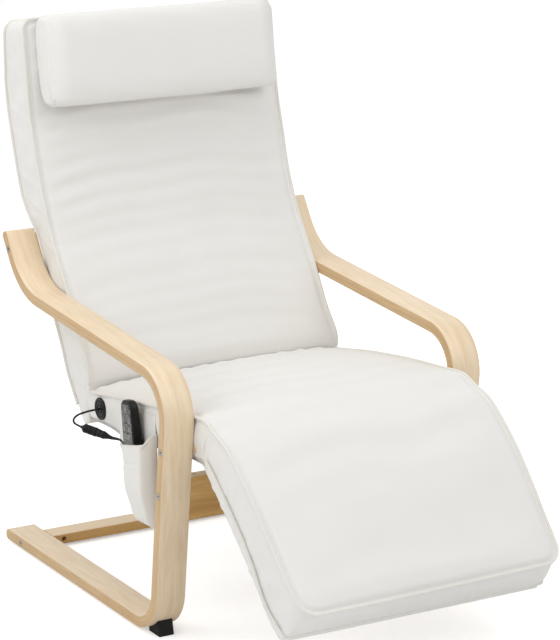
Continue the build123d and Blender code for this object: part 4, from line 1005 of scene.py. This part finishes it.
def back_lift(along, across, near):
    """Crown, sewn-down edge and cross ripples of the back."""
    part = np.abs(across) / (PAD_WIDTH / 2)
    crown = 6 * MM * (1 - part ** 2.4) + 4 * MM * (1 - part ** 12)
    edge = smoothstep(near / (16 * MM))
    foot = smoothstep((along - 0.05) / 0.08)
    inside = smoothstep(near / (60 * MM))
    bent = along + 0.01 * back_slant(across) - 0.02 * across
    ripples = 1.3 * MM * back_ripple(bent) + 1.1 * MM * back_ripple_two(bent)
    return (crown * edge + ripples * inside + edge_detail(along, across, near, 2.4 * MM)) * foot


def back_side(level, along, across, run):
    """How far the back's boxing stands out at a level."""
    belly = 2.2 * MM * math.sin(math.pi * level)
    seams = -1.8 * MM * (hump(level, 0.91, 0.04) + hump(level, 0.09, 0.04))
    total = belly + boxing_creases(level, run, 1.8, 1.1, 0.05) + seams
    return np.maximum(total, -1.9 * MM if abs(level - 0.5) > 0.36 else -MM)


def back_adjust(along, across, level):
    """The back is a little wider on its left above the arms, and bulges below them."""
    wider = 0.014 * smoothstep((along - 0.44) / 0.1)
    reach = level * across / (PAD_WIDTH / 2) + (1 - level) * smoothstep((across - 0.247) / 0.022)
    bulge = 8 * MM * hump(along, 0.095, 0.045) * reach
    return along, across * (1 + wider * (across > 0)) + bulge * (across > 0)


def back_rear(along, across, near):
    """Rear face: a slight crown, and a channel round each fixed stile below the upper bar."""
    edge = smoothstep(near / (20 * MM))
    crown = -2.5 * MM * edge * (1 - (np.abs(across) / (PAD_WIDTH / 2)) ** 2)
    crown = crown + 0.8 * MM * back_ripple_two(along + 0.1 * across) * edge
    place = np.interp(along / back_warp.length, CURVE_SHARES, rear_places)
    crown = np.where((place > BAR_ENDS[0]) & (place < BAR_ENDS[1]), np.abs(crown) * 0.2, crown)
    inside = (np.abs(across) > SLOT_SIDES[0] * MM + 1e-6) & (np.abs(across) < SLOT_SIDES[3] * MM - 1e-6)
    channel = inside & (place > SLOT_ENDS[0]) & (place < SLOT_ENDS[1])
    level = np.minimum(SLOT_LEVEL, read_off(BACK_FRONT, place) - SLOT_FLOOR)
    return np.where(channel, np.maximum(level - read_off(BACK_REAR, place), 0) * MM, crown)


slot_columns = [sign * place * MM for sign in (-1, 1) for place in SLOT_SIDES]
back_columns = np.array(sorted([
    *(place for place in edge_places(PAD_WIDTH, 76) - PAD_WIDTH / 2
      if min(abs(place - slot) for slot in slot_columns) > 1.5 * MM),
    *slot_columns,
]))
back_cover, back_rim = make_pad(
    "back_cover", back_warp, (22 * MM, 22 * MM), edge_places(back_warp.length, 244), back_columns, back_lift,
    back_rear, BACK_LEVELS, back_side, back_adjust,
)
back_piping = piping("back_front_piping", back_warp, back_rim, 1, 1.5 * MM, 75 * MM)
rear_piping = piping("back_rear_piping", back_warp, back_rim, 0, 1.3 * MM, 40 * MM)
for piece in (back_cover, back_piping, rear_piping):
    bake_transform(piece)
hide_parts("back_cushion", "back_rear_cover")

# Pillow: a boxed bolster with end panels and gathered lower corners
PILLOW_TILT = 9.7
PILLOW_WIDTH = 497 * MM
PILLOW_HEIGHT = 178 * MM
PILLOW_DEPTH = 78 * MM
PILLOW_SQUARENESS = 3.6
PILLOW_SIDES = 120
PILLOW_STATIONS = 150
PILLOW_END = ((1, 0.05), (1, 0.5), (1, 0.86), (0.998, 0.915), (0.992, 0.95), (0.984, 0.968),
              (0.978, 0.957), (0.972, 0.975))
PILLOW_FLAT_END = 0.965
LOW_CORNER = 5.3


def make_pillow():
    """Bolster lofted across the chair, with a seam near each end."""
    low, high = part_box("head_pillow")
    middle = (low + high) / 2
    turn = np.linspace(0, 2 * math.pi, PILLOW_SIDES, endpoint=False)
    depth_part, height_part = (np.sign(way) * np.abs(way) ** (2 / PILLOW_SQUARENESS)
                               for way in (np.cos(turn), np.sin(turn)))
    stations = [(-share, size) for share, size in PILLOW_END]
    stations += [(share, 1) for share in np.linspace(-PILLOW_FLAT_END, PILLOW_FLAT_END, PILLOW_STATIONS)]
    stations += PILLOW_END[::-1]
    wave = random_waves(61, 5, 0.04, 0.12)
    slow = random_waves(67, 3, 0.15, 0.4)
    fine = random_waves(71, 6, 0.012, 0.03)
    front, up = heading(PILLOW_TILT), heading(PILLOW_TILT + 90)
    run = turn / (2 * math.pi) * 0.5
    low_corner = hump(turn, LOW_CORNER, 0.5)
    points = []
    for share, size in stations:
        across = share * PILLOW_WIDTH / 2
        end = min((1 - abs(share)) / 0.1, 1)
        rounded = math.sin(math.pi / 2 * end)
        front_keep = 0.5 + 0.5 * math.sin(math.pi / 2 * min((1 - abs(share)) / 0.15, 1))
        d = depth_part * PILLOW_DEPTH / 2 * size * (0.93 + 0.07 * rounded)
        d = d * np.where(depth_part > 0, front_keep, 1)
        h = height_part * PILLOW_HEIGHT / 2 * size * (0.965 + 0.035 * rounded)
        wrinkle = 0.8 * MM * wave(run + 0.35 * across) * (1 - end * 0.5)
        wrinkle += 0.9 * MM * slow(across + 0.5 * run)
        wrinkle += (1 - end) ** 1.5 * (0.25 + low_corner) * 2 * MM * fine(run + 0.2 * across)
        wrinkle *= size ** 3
        ear = (1 - end) ** 2 * low_corner * MM * size ** 3
        sag = -2 * MM * math.sin(math.pi * (share + 1) / 2)
        d += 3 * ear + wrinkle * np.abs(depth_part) * np.sign(depth_part) * (depth_part > -0.6)
        h += wrinkle * height_part * 0.6 - 4 * ear + sag
        for forward, height in d[:, None] * front + h[:, None] * up:
            points.append((across, middle[1] - forward, middle[2] + height))
    return add_object("pillow_cover", points, ring_faces(len(stations), PILLOW_SIDES), [fabric])


pillow = make_pillow()
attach(pillow, "pillow")
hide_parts("head_pillow", "pillow_loop_strips")

# Pocket: a sewn bag on a flat hanger, open at the top. The mouth is (share, forward, height)
# and the rear edge is (share, forward), in millimetres.
POCKET_MOUTH = ((0, 50, 299), (0.3, 98, 311), (0.6, 140, 321), (0.83, 168, 328),
                (0.93, 187, 334), (1, 190, 352))
POCKET_REAR = ((0, 50), (0.04, 62), (0.12, 70), (0.25, 75), (0.45, 81), (0.65, 90), (0.85, 100), (1, 108))
POCKET_FOOT = 173
POCKET_FRONT = 192
POCKET_INNER = 271.5
POCKET_WALL = 1.8
POCKET_LEAST = 2
POCKET_FULLNESS = 31
POCKET_MOST = 33.5
POCKET_COLUMNS = 60
PANEL_ROWS = 70
HANGER_ROWS = 30
SEAM_UP = 34


def pocket_out(u, v):
    """How far the pocket's outer panel stands out at a place."""
    share = np.clip(u / (0.4 - 0.1 * v), 0, 1)
    rear = 0.45 * np.sin(np.pi / 2 * share) + 0.55 * share
    front = np.clip((1 - u) / 0.09, 0, 1) ** 0.5
    closing = np.sqrt(1 - (1 - np.clip((1 - v) / 0.16, 0, 1)) ** 2)
    slack = 1 - 0.34 * smoothstep((v - 0.5) / 0.42)
    cuff = -1.6 * hump(v, 0.19 + 0.04 * math.sin(3 * u), 0.022) * math.sin(math.pi * u)
    full = (POCKET_FULLNESS - POCKET_LEAST) * rear * front * slack * (0.1 + 0.9 * closing)
    return POCKET_LEAST + full + cuff


def pocket_line(u, v):
    """Side-profile place of the pocket, u from back to front, v from mouth to foot."""
    shares, forwards, heights = np.array(POCKET_MOUTH).T
    top, height = np.interp(u, shares, forwards), np.interp(u, shares, heights)
    rear = read_off(POCKET_REAR, v)
    blend = smoothstep(v / 0.06)
    forward = top * (1 - blend) + (rear + (POCKET_FRONT - rear) * u) * blend
    return np.array([forward, height + (POCKET_FOOT - height) * v])


def seam_place(forward):
    """Side-profile place of the seat's side seam in the part's millimetres, at a forward place."""
    own_fold = np.array([(fold[0] + DEPTH_MIDDLE) / MM, fold[1] / MM])
    along = (forward - own_fold[0]) / math.cos(math.radians(SEAT_SLOPE))
    return own_fold + heading(SEAT_SLOPE) * along + heading(SEAT_SLOPE + 90) * SEAM_UP


def hanger_spot(u, v):
    """Point of the flat panel: from the seam to the mouth, and then down to the foot."""
    mouth = pocket_line(u, 0)
    top = seam_place(mouth[0])
    spot = top + (mouth - top) * v * 2 if v < 0.5 else pocket_line(u, v * 2 - 1)
    return part_spot(-(POCKET_INNER + 0.4 + 3.2 * math.sin(math.pi * min(v, 0.5))), *spot)


fold_wave = random_waves(83, 4, 0.3, 0.8)
fine_wave = random_waves(89, 5, 0.08, 0.2)


def panel_spot(u, v):
    """Point of the outer panel, with its soft folds."""
    folds = 0.9 * fold_wave(u + 0.6 * v) * (0.3 + 0.7 * v) + 0.35 * fine_wave(u * 0.7 + v) * v
    out = min(pocket_out(u, v) + math.sin(math.pi * u) * folds, POCKET_MOST)
    return part_spot(-(POCKET_INNER + out), *pocket_line(u, v))


def make_sheet(name, spot, rows, offset):
    """Sheet of a cloth's thickness over a lattice of places."""
    across = [j / (POCKET_COLUMNS - 1) for j in range(POCKET_COLUMNS)]
    points = [spot(u, i / (rows - 1)) for i in range(rows) for u in across]
    sheet = add_object(name, points, grid_faces(rows, POCKET_COLUMNS), [fabric])
    thick = sheet.modifiers.new("cloth", "SOLIDIFY")
    thick.thickness = POCKET_WALL * MM
    thick.offset = offset
    bpy.context.view_layer.objects.active = sheet
    bpy.ops.object.modifier_apply(modifier="cloth")
    return sheet


pocket_panel = make_sheet("pocket_panel", panel_spot, PANEL_ROWS, -1)
hem_line = [part_spot(-(POCKET_INNER + pocket_out(u, 0) - 0.9), *pocket_line(u, 0))
            for u in np.arange(POCKET_COLUMNS) / (POCKET_COLUMNS - 1)]
pocket_hem = add_object("pocket_hem", *tube(hem_line, 1.9 * MM, 8), [piping_fabric])
pocket_hanger = make_sheet("pocket_hanger", hanger_spot, HANGER_ROWS, 0)
for piece in (pocket_panel, pocket_hem, pocket_hanger):
    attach(piece, "base")
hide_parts("remote_pocket")


# Handset: a moulded body, thinner towards its rounded top, with a speckled keypad
HANDSET_OUTER = -301
HANDSET_MIDDLE = np.array([132.69, 318.51])
HANDSET_TILT = 8
CORNER_STEPS = 9
HANDSET_HALF = (23, 85)
OUTER_ROUND, INNER_ROUND = 3, 6
HANDSET_LEVELS = (0, 0.02, 0.05, 0.09, 0.13, 0.3, 0.5, 0.68, 0.78, 0.86, 0.93, 0.98, 1)
KEYPAD_MIDDLE = 13
KEYPAD_STEPS = ((0.03, -0.5), (0.5, -0.5), (0.97, -0.5), (0.985, -0.4), (1, 0.2))
BOARD_REACH = 79
BOARD_DEPTHS = (8, 9.6)


def handset_spot(across, up, depth):
    """Row-frame point on the handset; depth runs from its outer face towards the seat."""
    spot = HANDSET_MIDDLE + heading(HANDSET_TILT) * across + heading(HANDSET_TILT + 90) * up
    return part_spot(HANDSET_OUTER + depth, *spot)


def rounded_outline(half_width, low, high, low_round, high_round):
    """Outline of a rounded rectangle, with one radius below and one above."""
    upper, lower = (high, high_round), (low, low_round)
    outline = []
    for side, start, (edge, radius) in ((1, 0, upper), (-1, 90, upper), (-1, 180, lower), (1, 270, lower)):
        centre = np.array([side * (half_width - radius), edge - math.copysign(radius, edge)])
        turns = np.linspace(start, start + 90, CORNER_STEPS)
        outline += [centre + heading(turn) * radius for turn in turns]
    return np.array(outline)


def handset_depth(up):
    """Thickness of the handset at a height."""
    return 26 - 8.5 * smoothstep((up + 15) / 95)


def ringed_object(name, rings, material, caps=BOTH_ENDS, smooth=True):
    """Handset piece through rings of (across, up, depth) places."""
    points = [handset_spot(*place) for ring in rings for place in zip(*np.broadcast_arrays(*ring))]
    faces = ring_faces(len(rings), len(rings[0][0]), caps)
    return add_object(name, points, faces, [material], smooth=smooth)


def make_handset():
    """Moulded body of the handset."""
    x, y = rounded_outline(HANDSET_HALF[0], -HANDSET_HALF[1], HANDSET_HALF[1], 9, 15).T
    x = x * (1 - 0.1 * smoothstep((y + 20) / 105))
    rings = [(x * scale, y * scale, 0) for scale in (0.03, 0.4, 0.8)]
    for level in HANDSET_LEVELS:
        depth = handset_depth(y) * level
        inset = 0
        for radius, gap in ((OUTER_ROUND, depth), (INNER_ROUND, handset_depth(y) - depth)):
            inset += radius - np.sqrt(radius ** 2 - np.clip(radius - gap, 0, None) ** 2)
        rings.append((x * (1 - inset / HANDSET_HALF[0]), y * (1 - inset / HANDSET_HALF[1]), depth))
    rings += [(x * scale, y * scale, handset_depth(y * scale)) for scale in (0.6, 0.3, 0.03)]
    return ringed_object("handset_body", rings, black_plastic)


handset_body = make_handset()

# Thin raised keypad, and the circuit board inside with its upper corners rounded to clear the shell
x, y = rounded_outline(17.5, -52, 78, 6, 13).T
keypad_rings = [(x * scale, KEYPAD_MIDDLE + (y - KEYPAD_MIDDLE) * scale, depth)
                for scale, depth in KEYPAD_STEPS]
handset_keypad = ringed_object("handset_keypad", keypad_rings, keypad_surface, caps=("start",))
x, y = rounded_outline(18, -BOARD_REACH, BOARD_REACH, 3, 11).T
board_rings = [(x, y, depth) for depth in BOARD_DEPTHS]
handset_board = ringed_object("handset_board", board_rings, board_green, smooth=False)
for piece in (handset_body, handset_keypad):
    mark_sharp(piece, 50)
for piece in (handset_body, handset_keypad, handset_board):
    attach(piece, "handset")
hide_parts("handset_front_shell", "handset_back_shell")
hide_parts("handset_circuit_board")

# Raised rings on the grommet's face
grommet_low, grommet_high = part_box("cord_grommet")
grommet_middle = (grommet_low + grommet_high) / 2
for ring_name, ring_radius in (("grommet_outer_ring", 15.5), ("grommet_inner_ring", 8)):
    ring_line = [(grommet_low[0] + 0.1 * MM, grommet_middle[1] + ring_radius * MM * c,
                  grommet_middle[2] + ring_radius * MM * s) for c, s in circle(48)]
    piece = add_object(ring_name, *tube(ring_line, 1.1 * MM, 10, closed=True), [black_rubber])
    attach(piece, "base")

# Floor, backdrop and light. Lamps are (name, place, target, size, power).
WHITE = (1, 1, 1, 1)
FLOOR_SIZE = 14
FLOOR_DROP = 0.5 * MM
FLOOR_GLOW = 0.42
WORLD_LIGHT = 0.66
LAMPS = (
    ("key_light", (0.9, -2.6, 3), (0, 0, 0.5), 2.2, 27),
    ("top_light", (-0.6, 0.4, 3.2), (0, 0, 0.5), 2.4, 20),
    ("fill_light", (-2.9, 0.2, 2.5), (0, 0, 0.7), 1.8, 25),
)


def pick_shader(tree, factor, plain, seen, output):
    """Show one shader where the factor is 0 and the other where it is 1."""
    pick = add_node(tree, "MixShader", {0: factor, 1: plain.outputs[0], 2: seen.outputs[0]})
    set_inputs(tree, tree.nodes[output], {"Surface": pick.outputs[0]})


def make_stage():
    """White floor that fades into a white background, and soft light."""
    bpy.ops.mesh.primitive_plane_add(size=FLOOR_SIZE, location=(0, 0, -FLOOR_DROP))
    floor = bpy.context.object
    floor.name = "floor"
    material, tree, shader = new_material("floor_white")
    set_inputs(tree, shader, {"Base Color": (0.93, 0.93, 0.93, 1), "Roughness": 0.9})
    glow = add_node(tree, "Emission", {"Color": WHITE, "Strength": FLOOR_GLOW})
    both = add_node(tree, "AddShader", {0: shader.outputs[0], 1: glow.outputs[0]})
    path = add_node(tree, "LightPath", {})
    pick_shader(tree, path.outputs["Is Camera Ray"], shader, both, "Material Output")
    floor.data.materials.append(material)

    world = bpy.data.worlds.new("world")
    bpy.context.scene.world = world
    world.use_nodes = True
    tree = world.node_tree
    background = tree.nodes["Background"]
    set_inputs(tree, background, {"Color": WHITE, "Strength": WORLD_LIGHT})
    bright = add_node(tree, "Background", {"Color": WHITE, "Strength": 1})
    path = add_node(tree, "LightPath", {})
    seen = combined(tree, "MAXIMUM", path.outputs["Is Camera Ray"], path.outputs["Is Glossy Ray"])
    seen = combined(tree, "MAXIMUM", seen, path.outputs["Is Transmission Ray"])
    pick_shader(tree, seen, background, bright, "World Output")

    for name, place, target, size, power in LAMPS:
        data = bpy.data.lights.new(name, "AREA")
        data.size = size
        data.energy = power
        lamp = placed(name, data)
        lamp.location = place
        lamp.rotation_euler = (Vector(target) - Vector(place)).to_track_quat("-Z", "Y").to_euler()
    bpy.context.scene.view_settings.view_transform = "Standard"


make_stage()
